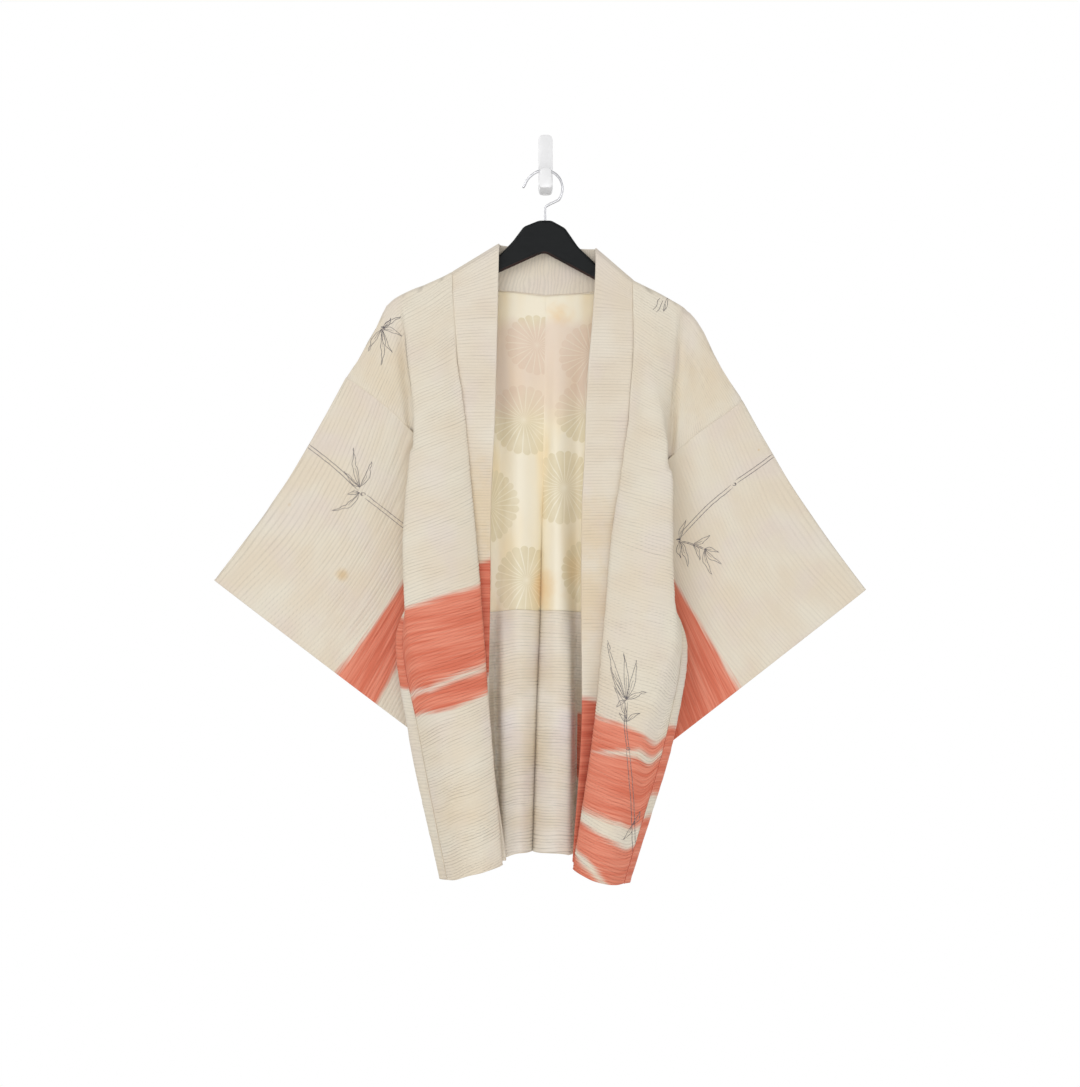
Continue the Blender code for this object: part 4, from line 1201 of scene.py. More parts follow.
@dataclass(frozen=True)
class LacquerFinish:
    """Satin black lacquer, rubbed to reddish brown along the hanger's lower edge."""

    name: str
    black: tuple = (17, 20, 22)
    blacker: tuple = (11, 14, 16)
    brown: tuple = (52, 34, 31)

    def build(self) -> Material:
        """Makes the material."""
        graph = Paint(self.name)
        place = graph.place()
        worn = graph.attribute("rubbed") * graph.noise(place, (45, 45, 45), 3.0).ramp(0.3, 0.55)
        dark = graph.mix(graph.noise(place, (70, 70, 70), 4.0), self.black, self.blacker)
        scuff = graph.noise(place, (60, 60, 600), 3.0).ramp(0.3, 0.7, 0.42, 0.56)
        return graph.done({"Base Color": graph.mix(worn, dark, self.brown), "Roughness": scuff,
                           "Specular IOR Level": 0.2, "Coat Weight": 0.03, "Coat Roughness": 0.3},
                          graph.noise(place, (1500, 1500, 1500), 1.0), 0.0001, 0.2)


@dataclass(frozen=True)
class HardFinish:
    """Steel or plastic with faint marks in its colour and its gloss."""

    name: str
    colour: tuple
    darker: tuple  # the marks' tone
    cells: float  # marks to the metre
    detail: float  # how fine they break up
    rough: tuple  # roughness, lowest and highest
    others: dict  # what the shader's other inputs get

    def build(self) -> Material:
        """Makes the material."""
        graph = Paint(self.name)
        marks = graph.noise(graph.place(), (self.cells,) * 3, self.detail)
        return graph.done({"Base Color": graph.mix(marks, self.darker, self.colour),
                           "Roughness": marks.ramp(0.3, 0.7, *self.rough)} | self.others)






# Folds that are pressed into the cloth, sharper than the solids' own
FOLD_DEPTHS = ((-300, 0.0), (-440, 6.0), (-540, 24.0), (-990, 34.0))  # centre fold, (z, depth)
FOLD_WIDTH = 4.5
PLEAT_DROPS = (400.0, 560.0)  # the first pleat grows between these drops
PLEAT_EDGES = {Side.RIGHT: 1.9, Side.LEFT: 1.6}  # its edge, in lanes
PLEAT_TURN = 0.17  # lanes over which it turns over
PLEAT_SLOPE = 2.0  # how far it lies back at its edge
PLEAT_DEPTH = 22.0  # of the hollow beside it
TUCK_DROPS = (500.0, 740.0)  # the fronts' seam turns back between these drops
TUCKS = {Side.RIGHT: 7.0, Side.LEFT: 16.0}
FRONT_SLANT, BACK_SLANT = 0.15, 0.05  # how fast ridges fall outwards
LINING_RISE = 5.0  # how far the lining reaches up behind the fold over the hanger
RIDGE_GROWTH = ((100, 750), (1.0, 1.7))  # drops, and the ridges' share of their height there


def tucked(side: Side, drop: Array, share: Array) -> Array:
    """Tucks the seam of collar and front back behind the front's turned edge.

    Args:
        side: which half.
        drop: drop from the neck.
        share: 0 where the cloth stays in place, and 1 at the seam.

    Returns:
        How far back the cloth lies.
    """
    share = np.clip(share, 0, 1)
    return TUCKS[side] * interp(drop, TUCK_DROPS, (0, 1)) * share**2 * (3 - 2 * share)


def folded(panel: Panel) -> Panel:
    """Presses the sharp upright fold into the centre back seam.

    Args:
        panel: half of the back, or what lies on it.

    Returns:
        The same panel.
    """
    heights, depths = zip(*FOLD_DEPTHS[::-1])
    depth = interp(panel.points[..., 2], heights, depths)
    panel.points[..., 1] += depth * np.exp(-panel.over / FOLD_WIDTH)
    return panel


def pleated(panel: Panel, side: Side) -> Panel:
    """Presses the back's first pleat flat, with a sharp edge and a deep hollow beside it.

    Args:
        panel: half of the back, or what lies on it.
        side: which half.

    Returns:
        The same panel.
    """
    lane, edge, rows = panel.lane, PLEAT_EDGES[side], panel.points[..., 1]
    crest = np.array([interp([1.0, 2.0], lane, row) for row in rows])
    flat = crest[:, :1] + PLEAT_SLOPE * (lane - 1) / (edge - 1)
    hollow = rows + PLEAT_DEPTH * np.clip((3 - lane) / (3 - edge), 0, 1)
    turn = np.clip((lane - edge) / PLEAT_TURN, 0, 1)
    pressed = np.where(lane < 1, rows, flat * (1 - turn) + hollow * turn)
    share = interp(panel.run, PLEAT_DROPS, (0, 1))[:, None]
    panel.points[..., 1] += (pressed - rows) * share * share * (3 - 2 * share)
    return panel


def declare(piece: Piece, node: str | None, slot: str, material: Material) -> None:
    """Gives a piece its material, and lets it stand for its solid.

    Args:
        piece: the piece.
        node: its solid's name, or None.
        slot: not used.
        material: its finish.
    """
    piece.data.materials.append(material)
    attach(piece, BODY)
    if node:
        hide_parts(node)
    faces = len(piece.data.polygons) if piece.type == "MESH" else 0
    LOG.info("%s: %d faces, stands for %s", piece.name, faces, node)


@dataclass
class BodyHalf:
    """One half of the jacket's body, whose steps are the columns from fold line to fold line."""

    side: Side
    front_steps: int = 9
    back_steps: int = 6
    gusset_steps: int = 6

    def build(self) -> dict[str, Piece]:
        """Makes the half's pieces.

        Returns:
            The pieces by the name of their solid.
        """
        pattern, word = Pattern(self.side), self.side.word
        drops = np.arange(0, FULL_DROP + ROW_STEP / 2, ROW_STEP)
        rows = concatenate([np.linspace(-1, 0, TOP_ROWS + 1)[:-1], drops])

        points = pattern.world(pattern.fronts(drops, self.front_steps))
        points[:, -1] = pattern.world(pattern.side_line(rows, 0))
        front = self._panel(points, self.front_steps, rows)
        front.points[..., 1] += tucked(self.side, rows[:, None], 1 - front.lane)
        front = self._crepe("front_panel", "front", front, 1, slant=FRONT_SLANT)

        back = self._panel(pattern.world(pattern.backs(drops, self.back_steps)), self.back_steps, rows)
        back = self._crepe("back_panel", "back", folded(pleated(back, self.side)), -1, slant=BACK_SLANT)

        low = drops[drops >= ARMHOLE_DROP]
        points = pattern.world(pattern.gussets(low, self.gusset_steps))
        gusset = self._crepe("gusset_strip", "gusset", self._panel(points, self.gusset_steps, low), 1)

        lined = int((LINING_DROP - LINING_TOP) / PLAIN_STEP) + 3
        lining = self._inside(pattern, np.linspace(LINING_TOP - LINING_RISE, LINING_DROP, lined))
        waves = 0.25 * noise(lining.over / 16, lining.down / 120, 61) * lining.end_fade(12) + 0.25
        lining = Shell(f"silk_lining_{word}", lining, lining.normals(), LINING, LAID_ON,
                       swell=waves).build()

        turned = self._inside(pattern, np.arange(LINING_DROP + 0.6, FULL_DROP - 0.4, ROW_STEP))
        turned = self._crepe("turned_hem", "turn_up", turned, 1, LINING, LAID_ON, (True, False))
        made = {"front": front, "back": back, "gusset": gusset, "lining": lining, "turn_up": turned}
        return {f"{part}_{word}": piece for part, piece in made.items()}

    def _panel(self, points: Array, steps: int, rows: Array) -> Panel:
        """A panel with lanes counted in fold lines and narrow columns at its seams."""
        return Panel(points, np.arange(points.shape[1]) / steps, rows).with_seam_columns()

    def _inside(self, pattern: Pattern, drops: Array) -> Panel:
        """The stretch of the back that lining and turn-up cover."""
        columns = int(LINING_LANES * self.back_steps) + 1
        points = pattern.world(pattern.backs(drops, self.back_steps)[TOP_ROWS:, :columns])
        panel = pleated(Panel(points, np.arange(columns) / self.back_steps, drops), self.side)
        return folded(panel.with_seam_columns())

    def _crepe(self, name: str, part: str, panel: Panel, way: int, thick: float = CLOTH,
               lift: float = 0.0, seams: tuple = (True, True), slant: float = 0.0) -> Piece:
        """Makes a crepe piece.

        Args:
            name: its name without the side.
            part: its solid's name without the side.
            panel: its middle surface.
            way: 1 where its outer face points forward, and -1 where it points back.
            thick: the wall's thickness.
            lift: how far it lies off the panel.
            seams: whether its first and last edge are seams.
            slant: how fast its ridges fall outwards.

        Returns:
            The piece.
        """
        down, word, crinkle = panel.down, self.side.word, Crinkle(seed=20 + 10 * self.side.value)
        swell = panel.seam_roll(*seams)
        for crease in creases(f"{part}_{word}"):
            swell = swell + crease.lift(panel.points)
        fade = panel.end_fade(1.6)
        ridges = crinkle.ridges(panel.over, down - slant * panel.over) * fade
        ridges = ridges * interp(down, *RIDGE_GROWTH)
        if thick == CLOTH and way > 0:
            swell = swell + crinkle.ripples(panel.over, down) * fade
        dye = dye_depth(BANDS.get(f"{part}_{word}", ()), panel.lanes, down)
        return Shell(f"{name}_{word}", panel, panel.normals() * way, thick, lift, ridges,
                     crinkle.height, swell, dye).build()


@dataclass
class Sleeve:
    """One bag sleeve, round from the front's bottom edge over the top fold to the back's."""

    side: Side
    ridge: float = 0.32  # height of its fine ridges
    ripple: float = 0.75  # height of its long ripples
    mark: float = 0.8  # how strongly the ridges shade it
    bow: float = 27.0  # how far its ridges sag between body and cuff,
    bow_reach: float = 370.0  # and over what length
    columns: int = 46

    def build(self) -> Piece:
        """Makes the sleeve."""
        pattern, word = Pattern(self.side), self.side.word
        shares = np.linspace(0, 1, int(SLEEVE_DROP / ROW_STEP) + 1)
        outs = np.linspace(0, 1, self.columns)
        run = concatenate([-shares[::-1], shares[1:]]) * SLEEVE_DROP
        panel = Panel(pattern.world(pattern.sleeves(shares, outs)), outs, run).with_seam_columns()
        down = panel.down
        front = (run < 0)[:, None]
        fade = panel.end_fade(1.6)
        crinkle = Crinkle(pitch=5.6, height=self.ridge, ripple=self.ripple, waver=0.7,
                          seed=50 + 10 * self.side.value)
        swell = panel.seam_roll(True, False) + crinkle.ripples(panel.over, down) * fade
        for name, here in ((f"sleeve_{word}", front), (f"sleeve_{word}_behind", ~front)):
            for crease in creases(name):
                swell = swell + crease.lift(panel.points) * here * fade
        sag = self.bow * np.sin(panel.over * math.pi / self.bow_reach) * np.tanh(down / 60)
        dye = dye_depth(BANDS[f"sleeve_{word}"], panel.lanes, np.abs(down))
        return Shell(f"bag_sleeve_{word}", panel, panel.normals(), CLOTH, 0.0,
                     crinkle.ridges(panel.over, down - sag) * fade, crinkle.height, swell, dye,
                     self.mark).build()


@dataclass
class CollarBand:
    """The long collar band, doubled, from one hem up round the neck to the other hem."""

    columns: int = 9
    tuck_lane: float = 0.42  # the share of its width that turns back to the seam

    def build(self) -> Piece:
        """Makes the band."""
        right, left = (Pattern(side).collar_stations() for side in Side)
        band, drop = (concatenate([near, far[-2::-1]]) for near, far in zip(right, left))
        middle = band.mean(axis=1)
        along = concatenate([[0], np.cumsum(norm(np.diff(middle, axis=0), axis=1))])
        run = np.linspace(0, along[-1], int(along[-1] / ROW_STEP) + 1)
        band = read_down(along, band, run)
        drop = interp(run, along, drop)
        share = np.linspace(0, 1, self.columns)[None, :, None]
        points = band[:, :1] * (1 - share) + band[:, 1:] * share
        points, drop = self._levelled(points, run, drop)
        panel = Panel(points, share.ravel(), run).with_seam_columns()
        down = panel.down
        crinkle = Crinkle(pitch=4.2, height=0.3, ripple=0.2, waver=0.6, seed=71)
        fade = panel.end_fade(1.8)
        fall = stack([interp(panel.lane, np.linspace(0, 1, self.columns), row) for row in drop])
        right = (run < run[-1] / 2)[:, None]
        tuck = [tucked(side, fall, panel.lanes / self.tuck_lane) for side in Side]
        panel.points[..., 1] += np.where(right, *tuck)
        dyes = [dye_depth(BANDS[f"collar_{side.word}"], panel.lanes, fall) for side in Side]
        swell = panel.seam_roll(False, True) * 0.8 + crinkle.ripples(panel.over, down) * fade
        return Shell("collar_band", panel, panel.normals(), COLLAR, 0.0,
                     crinkle.ridges(panel.over, down) * fade, crinkle.height, swell,
                     np.where(right, *dyes)).build()

    @staticmethod
    def _levelled(points: Array, run: Array, drop: Array) -> tuple[Array, Array]:
        """Shifts each column along the band until the rows hang level.

        Args:
            points: the band's points, (rows, columns, 3).
            run: each row's distance along the band.
            drop: each row's drop from the neck.

        Returns:
            The new points, and the drop of each one.
        """
        height = points[..., 2] - points[..., 2].mean(axis=1, keepdims=True)
        in_front = np.clip((drop - 8) / 50, 0, 1) * np.clip((drop.max() - drop) / 70, 0, 1)
        way = np.where(run < run[-1] / 2, 1, -1)
        source = run[:, None] - height * (way * in_front)[:, None]
        moved = [[interp(source[:, column], run, points[:, column, axis]) for axis in range(3)]
                 for column in range(points.shape[1])]
        return np.array(moved).transpose(2, 0, 1), interp(source, run, drop)


def square_to(path: Array) -> Array:
    """Unit vectors square to a path in a plane."""
    along = np.gradient(path, axis=0)
    square = stack([-along[:, 1], along[:, 0]], axis=1)
    return square / (norm(square, axis=1, keepdims=True) + 1e-9)


@dataclass(frozen=True)
class Stroke:
    """One ink line: its corners as (x, z), its full width, and how far it strays."""

    path: tuple
    width: float = 0.7
    stray: float = 1.1

    def centre(self) -> Array:
        """Points a millimetre apart on a smooth curve through the corners."""
        corners = np.array(self.path, float)
        lengths = norm(np.diff(corners, axis=0), axis=1)
        lines = concatenate([corners, np.zeros((len(corners), 1))], axis=1)[None]
        fine = spread(lines, max(2, int(lengths.max() / 1.2)))[0][:, :2]
        along = np.arange(len(fine)) / 7
        start = np.full(len(fine), abs(corners[0] @ (0.31, 0.17)))
        ends = np.clip(np.minimum(along, along[::-1]) * 2, 0, 1)
        stray = [self.stray * ends * noise(along, start, seed) for seed in (90, 91)]
        return fine + stack(stray, axis=1)

    def edges(self) -> tuple[Array, Array]:
        """The line's two edges, tapering to its ends."""
        centre = self.centre()
        square = square_to(centre)
        share = np.linspace(0, 1, len(centre))
        half = self.width / 2 * np.clip(np.minimum(share, 1 - share) * 7 + 0.35, 0, 1)
        return centre - square * half[:, None], centre + square * half[:, None]


def leaf(base: tuple, tip: tuple, width: float, bend: float = 0.0) -> list[Stroke]:
    """A bamboo leaf: two bowed outlines and a faint rib.

    Args:
        base: where it grows, (x, z).
        tip: its point, (x, z).
        width: its greatest width.
        bend: how far it bows to one side.

    Returns:
        Its lines.
    """
    base, tip = np.array(base, float), np.array(tip, float)
    along = tip - base
    square = np.array([-along[1], along[0]]) / norm(along)
    strokes = []
    for way, widest in ((1, 0.36), (-1, 0.44)):
        belly = base + along * widest + square * (bend + way * width / 2)
        neck = base + along * 0.74 + square * (bend * 0.7 + way * width * 0.22)
        strokes.append(Stroke((tuple(base), tuple(belly), tuple(neck), tuple(tip)), 0.62))
    rib = base + along * 0.5 + square * bend
    strokes.append(Stroke((tuple(base), tuple(rib)), 0.45))
    return strokes


def leaves(base: tuple, wanted: tuple) -> list[Stroke]:
    """Leaves from one place, each given as its point's x and z, its width and its bend."""
    return [stroke for x, z, width, bend in wanted for stroke in leaf(base, (x, z), width, bend)]


def stalk(path: tuple, gap: float) -> list[Stroke]:
    """A bamboo stalk: two lines side by side.

    Args:
        path: its middle, (x, z).
        gap: between its two lines.

    Returns:
        Its lines.
    """
    middle = np.array(path, float)
    sides = [middle + square_to(middle) * way * gap / 2 for way in (-1, 1)]
    return [Stroke(tuple(map(tuple, side)), 0.75, 0.3) for side in sides]


def knot(centre: tuple, size: float, seed: int) -> list[Stroke]:
    """A joint of the bamboo: a few short curls round a place.

    Args:
        centre: its middle, (x, z).
        size: its reach.
        seed: where its random draws start.

    Returns:
        Its lines.
    """
    draws = np.random.default_rng(seed)
    strokes = []
    for _ in range(5):
        angles = draws.uniform(0, 2 * math.pi) + np.array((0, 0.9, 1.9))
        reach = size * draws.uniform(0.4, 1.0)
        x, z = centre[0] + reach * np.cos(angles), centre[1] + 0.8 * reach * np.sin(angles)
        strokes.append(Stroke(tuple(zip(x, z)), 0.8, 0.0))
    return strokes


@dataclass
class Sprig:
    """Bamboo drawn in ink on one piece of cloth, on the jacket's back where it is behind."""

    name: str
    strokes: list
    behind: bool = False
    float_off: float = 0.22
    reach: float = 400.0
    step: float = 2.5

    def build(self, cloth: Piece) -> Piece:
        """Lays the lines on the cloth.

        Args:
            cloth: the piece that carries them.

        Returns:
            The drawing as one mesh.
        """
        way = -1.0 if self.behind else 1.0
        coords, faces = [], []
        for stroke in self.strokes:
            before = None
            for first, second in zip(*stroke.edges()):
                pair = [self._laid(cloth, point, way) for point in (first, second)]
                if None in pair or abs(pair[0][1] - pair[1][1]) >= self.step * MM:
                    before = None
                    continue
                start = len(coords)
                coords += pair
                if before is not None and abs(coords[before][1] - pair[0][1]) < self.step * MM:
                    faces.append((before, before + 1, start + 1, start))
                before = start
        faces = np.array(faces)[:, ::-1 if self.behind else 1]
        return mesh_object(self.name, np.array(coords), [faces])

    def _laid(self, cloth: Piece, point: Array, way: float) -> tuple | None:
        """Where a line's point lies on the cloth, or None beside it."""
        start = Vector((point[0] * MM, -way * self.reach * MM, point[1] * MM))
        hit, place, _, _ = cloth.ray_cast(start, Vector((0, way, 0)))
        return (place.x, place.y - way * self.float_off * MM, place.z) if hit else None


WORN_SHARE = 0.95  # of the rounding's inset, up to which the lacquer is rubbed


@dataclass
class Hanger:
    """The flat wishbone hanger between two fwd planes, with rounded edges.

    Top and low are half outlines of its upper and lower edge from the neck out, (out, z).
    """

    fwd: tuple = (25.0, 35.0)
    top: dict = field(default_factory=lambda: {
        Side.RIGHT: ((9, -79.5), (30, -88), (45, -108), (62, -126), (96, -149), (128, -164),
                     (150, -168.5), (166, -173), (198, -188.5)),
        Side.LEFT: ((8, -79.5), (27, -90), (45, -116), (68, -138), (96, -160), (120, -175),
                    (150, -183), (184, -203))})
    low: dict = field(default_factory=lambda: {
        Side.RIGHT: ((6, -125), (62, -150), (128, -181), (194, -211), (206, -204), (206, -195)),
        Side.LEFT: ((0, -124.5), (68, -161), (120, -188), (180, -222), (190, -216), (190, -209))})
    round_off: float = 3.2
    step: float = 2.0
    smooth: int = 2
    rings: int = 5

    def outline(self) -> tuple[Array, Array]:
        """Points round the hanger, (x, z), and 1 on those of the lower edge."""
        top = [(-out, z) for out, z in self.top[Side.RIGHT]][::-1] + list(self.top[Side.LEFT])
        low = list(self.low[Side.LEFT])[::-1] + [(-out, z) for out, z in self.low[Side.RIGHT]]
        corners = np.array(top + low + top[:1], float)
        lowers = np.array([0.0] * len(top) + [1.0] * len(low) + [0.0])
        along = concatenate([[0], np.cumsum(norm(np.diff(corners, axis=0), axis=1))])
        places = np.linspace(0, along[-1], int(along[-1] / self.step) + 1)[:-1]
        fine = stack([interp(places, along, values) for values in (*corners.T, lowers)], axis=1)
        for _ in range(self.smooth):
            fine = (np.roll(fine, 1, axis=0) + 2 * fine + np.roll(fine, -1, axis=0)) / 4
        return fine[:, :2], np.clip(fine[:, 2], 0, 1)

    def build(self) -> Piece:
        """Makes the hanger."""
        outline, lower = self.outline()
        along = np.roll(outline, -1, axis=0) - np.roll(outline, 1, axis=0)
        inward = stack([along[:, 1], -along[:, 0]], axis=1)
        inward /= norm(inward, axis=1, keepdims=True)
        profile = self._edge_profile()
        coords, rubbed = [], []
        for inset, fwd in profile:
            x, z = (outline + inward * inset).T
            coords.append(stack([x, np.full(len(x), -fwd), z], axis=1))
            rubbed.append(lower * float(inset < self.round_off * WORN_SHARE))
        index = np.arange(len(profile) * len(outline)).reshape(len(profile), -1)
        faces = [tube_quads(index)[:, [0, 3, 2, 1]], index[:1, ::-1], index[-1:]]
        obj = mesh_object("clothes_hanger", concatenate(coords) * MM, faces)
        add_attribute(obj, "rubbed", concatenate(rubbed))
        for cap in obj.data.polygons[-2:]:
            cap.use_smooth = False
        return obj

    def _edge_profile(self) -> list[tuple[float, float]]:
        """Inset and fwd of each ring, from the front face round the edge to the back face."""
        front, back, radius = self.fwd[1], self.fwd[0], self.round_off
        turn = np.linspace(0, math.pi / 2, self.rings)
        round_edge = [(radius * (1 - math.sin(a)), radius * (1 - math.cos(a))) for a in turn]
        near = [(inset, front - fwd) for inset, fwd in round_edge]
        far = [(inset, back + fwd) for inset, fwd in round_edge[::-1]]
        inner = radius + 0.6
        return [(inner, front), *near, *far, (inner, back)]


@dataclass
class HangerHook:
    """The bright wire hook that stands in the hanger and hangs over the wall hook."""

    wire: float = 3.6  # its diameter
    fwd: float = 29.5
    top: tuple = (-1.5, -10.2)  # middle of the wire at its highest
    radius: float = 25.0
    stem_x: float = -0.5
    sides: int = 20
    tip: tuple = ((-15.5, -14.4), (-21.5, -19.2), (-26.2, -25.0), (-28.6, -30.4), (-30.4, -33.2))

    def build(self) -> Piece:
        """Makes the wire as a smooth tube with round ends."""
        centre = (self.top[0], self.top[1] - self.radius)
        stem = [(self.stem_x, z) for z in (-80.5, -72, -66)] + [(self.stem_x + 1.0, -60)]
        arc = [(centre[0] + self.radius * math.cos(angle), centre[1] + self.radius * math.sin(angle))
               for angle in map(math.radians, range(-40, 113, 8))]
        lines = np.array([(x, -self.fwd, z) for x, z in (*stem, *arc, *self.tip)])[None]
        return self._tube(spread(lines, 3)[0])

    def _tube(self, path: Array) -> Piece:
        """Draws the wire.

        Args:
            path: its middle line.

        Returns:
            The tube with its domed ends.
        """
        radius = self.wire / 2
        along = np.gradient(path, axis=0)
        along /= norm(along, axis=1, keepdims=True)
        first = np.cross(along, (0.0, 1.0, 0.0))
        first /= norm(first, axis=1, keepdims=True)
        second = np.cross(along, first)
        dome = np.array((0.2, 0.5, 0.8, 1.0))
        starts = [(0, -math.sqrt(1 - d * d), d) for d in dome]
        ends = [(len(path) - 1, math.sqrt(1 - d * d), d) for d in dome[::-1]]
        sections = starts + [(i, 0.0, 1.0) for i in range(1, len(path) - 1)] + ends
        turn = np.arange(self.sides)[:, None] * 2 * math.pi / self.sides
        coords = []
        for i, push, size in sections:
            reach = np.cos(turn) * first[i] + np.sin(turn) * second[i]
            coords.append(path[i] + along[i] * push * radius + radius * size * reach)
        index = np.arange(len(sections) * self.sides).reshape(-1, self.sides)
        faces = [tube_quads(index), index[:1, ::-1], index[-1:]]
        return mesh_object("wire_hook", concatenate(coords) * MM, faces)


@dataclass
class WallHook:
    """The pale stick-on hook: a plate with a J-shaped jaw, whose floor lies at seat_z."""

    width: float = 20.0
    thick: float = 3.5
    height: float = 84.0
    seat_z: float = -15.35
    lip_fwd: float = 32.1
    lip: float = 4.0
    round_off: float = 1.1

    def build(self) -> Piece:
        """Makes the hook from a plate, a jaw and a lip with rounded edges."""
        half, rise, seat = self.width / 2, self.height / 2, self.seat_z
        lip_out = self.lip_fwd + self.lip
        plate = self._rounded(((-half, rise), (half, rise), (half, -rise), (-half, -rise)), 8.5)
        top, low = seat + 8, seat - 19.5
        lip = self._rounded(((-7.5, top), (7.5, top), (half, low), (-half, low)), 6)
        jaw = [(self.thick - 1, seat), (self.lip_fwd + 1, seat), (self.lip_fwd + 1, seat - 12),
               (lip_out - 6, seat - 19), (self.thick - 1, seat - 26)]
        solids = (([(x, -self.thick, z) for x, z in plate], (0, self.thick, 0)),
                  ([(x, -lip_out, z) for x, z in lip], (0, self.lip, 0)),
                  ([(-half + 2, -fwd, z) for fwd, z in jaw], (self.width - 4, 0, 0)))
        coords, faces = [], []
        for outline, shift in solids:
            ends = np.arange(2 * len(outline)).reshape(2, -1) + sum(map(len, coords))
            coords += [np.array(outline), np.add(outline, shift)]
            faces += [tube_quads(ends), stack([ends[0][::-1], ends[1]])]
        obj = mesh_object("stick_on_hook", concatenate(coords) * MM, faces)
        bevel = obj.modifiers.new("rounded", "BEVEL")
        bevel.width, bevel.segments, bevel.limit_method = self.round_off * MM, 3, "ANGLE"
        return obj

    @staticmethod
    def _rounded(corners: tuple, radius: float) -> list[tuple[float, float]]:
        """Rounds the corners of an outline.

        Args:
            corners: its corners in order.
            radius: where the rounding starts beside each.

        Returns:
            The points of the new outline.
        """
        points = []
        corners = np.array(corners, float)
        befores, afters = (np.roll(corners, shift, axis=0) for shift in (1, -1))
        for before, corner, after in zip(befores, corners, afters):
            start = corner + (before - corner) / norm(before - corner) * radius
            end = corner + (after - corner) / norm(after - corner) * radius
            for share in np.linspace(0, 1, 7):
                near = start * (1 - share) + corner * share
                far = corner * (1 - share) + end * share
                points.append(tuple(near * (1 - share) + far * share))
        return points


@dataclass
class Studio:
    """Camera, soft lights, white surroundings and a plain pale floor, in metres."""

    place: tuple = (-0.0076, -4.5, -0.5236)
    lens: float = 108.33
    floor_z: float = -1.36

    def build(self) -> None:
        """Sets the whole studio up."""
        self._camera()
        self._lights()
        self._world()
        self._floor()
        bpy.context.scene.view_settings.view_transform = "Standard"

    def _camera(self) -> None:
        """A camera that looks straight at the wall."""
        camera = bpy.data.cameras.new("camera")
        camera.sensor_fit = "HORIZONTAL"
        camera.sensor_width = 36.0
        camera.lens = self.lens
        obj = link_object("camera", camera)
        obj.location = self.place
        obj.rotation_euler = (math.pi / 2, 0, 0)
        bpy.context.scene.camera = obj

    def _lights(self) -> None:
        """A large soft key from the upper left and weaker ones beside and behind."""
        centre = Vector((0, 0, -0.55))
        for name, place, size, power in (("key", (-1.5, -2.6, 0.9), 2.0, 25.0),
                                         ("fill", (2.4, -2.2, -0.2), 2.4, 10.0),
                                         ("front", (0.1, -3.6, -0.9), 1.2, 19.0),
                                         ("back_left", (-1.8, 2.4, 0.8), 2.2, 32.0),
                                         ("back_right", (2.2, 2.2, 0.3), 2.2, 24.0)):
            light = bpy.data.lights.new(name, "AREA")
            light.size = size
            light.energy = power
            obj = link_object(name, light)
            obj.location = place
            obj.rotation_euler = (centre - Vector(place)).to_track_quat("-Z", "Y").to_euler()

    def _world(self) -> None:
        """White to the camera, and softer as a light."""
        world = bpy.data.worlds.new("white_room")
        world.use_nodes = True
        graph = Graph(world.node_tree)
        seen = graph.wire(graph.add("LightPath"), "Is Camera Ray")
        graph.fill(world.node_tree.nodes["Background"],
                   {"Color": (255, 255, 255), "Strength": seen.ramp(0, 1, 0.52, 1.0, "LINEAR")})
        bpy.context.scene.world = world

    def _floor(self) -> None:
        """A pale floor with a faint mottle."""
        corners = ((-1.5, -2.7), (1.5, -2.7), (1.5, 0.35), (-1.5, 0.35))
        coords = np.array([(x, y, self.floor_z) for x, y in corners])
        floor = mesh_object("floor", coords, [np.array([[0, 1, 2, 3]])])
        graph = Paint("pale_floor")
        colour = graph.mix(graph.noise(graph.place(), (6, 6, 6)), (238, 237, 235), (244, 243, 241))
        floor.data.materials.append(graph.done({"Base Color": colour, "Roughness": 0.7}))
# Creases by piece: half width, rise, then the corners of the line as x and z by turns
CREASES = {
    "front_right": (
        (4.2, -7.5, -201, -203, -196, -262, -188, -330, -184, -392),
        (9, -1.3, -128, -196, -131, -262, -124, -338), (7, 0.9, -112, -250, -118, -330, -113, -392),
        (8, -0.8, -96, -610, -104, -690, -101, -748)),
    "front_left": (
        (4.2, -10, 189, -204, 185, -262, 178, -340, 170, -420),
        (8, -1.5, 133, -178, 146, -272, 164, -378), (7, 1.0, 118, -214, 126, -292, 131, -352),
        (9, -0.9, 105, -560, 96, -630, 99, -716)),
    "back_right": (
        (11, -1.6, -22, -205, -60, -262, -96, -372), (9, -1.2, -142, -232, -120, -330, -128, -452),
        (10, 1.1, -30, -540, -44, -640, -38, -716), (8, -0.9, -120, -700, -112, -800, -121, -868)),
    "back_left": (
        (10, -1.5, 18, -212, 52, -290, 74, -398), (8, -1.1, 120, -246, 132, -352, 126, -430),
        (11, 1.2, 42, -602, 60, -700, 54, -812)),
    "sleeve_right": (
        (7, -1.9, -220, -236, -214, -288, -208, -340), (6, -1.4, -199, -236, -192, -280),
        (10, -1.1, -252, -300, -300, -372, -362, -420), (12, 1.0, -232, -392, -282, -470, -352, -520),
        (10, -0.9, -214, -470, -262, -560, -330, -612)),
    "sleeve_left": (
        (8, -1.2, 196, -262, 202, -322, 196, -372), (12, -0.7, 236, -380, 300, -430, 368, -452),
        (12, 0.7, 214, -520, 262, -600, 330, -650)),
    "sleeve_right_behind": (
        (8, -1.7, -206, -248, -216, -320, -210, -388), (11, -1.2, -250, -330, -306, -402, -372, -452),
        (10, 1.1, -226, -460, -290, -540, -322, -640)),
    "sleeve_left_behind": (
        (9, -1.6, 198, -270, 206, -346, 199, -420), (11, -1.0, 240, -352, 310, -420, 376, -470),
        (9, 1.0, 220, -500, 262, -600, 344, -668))}

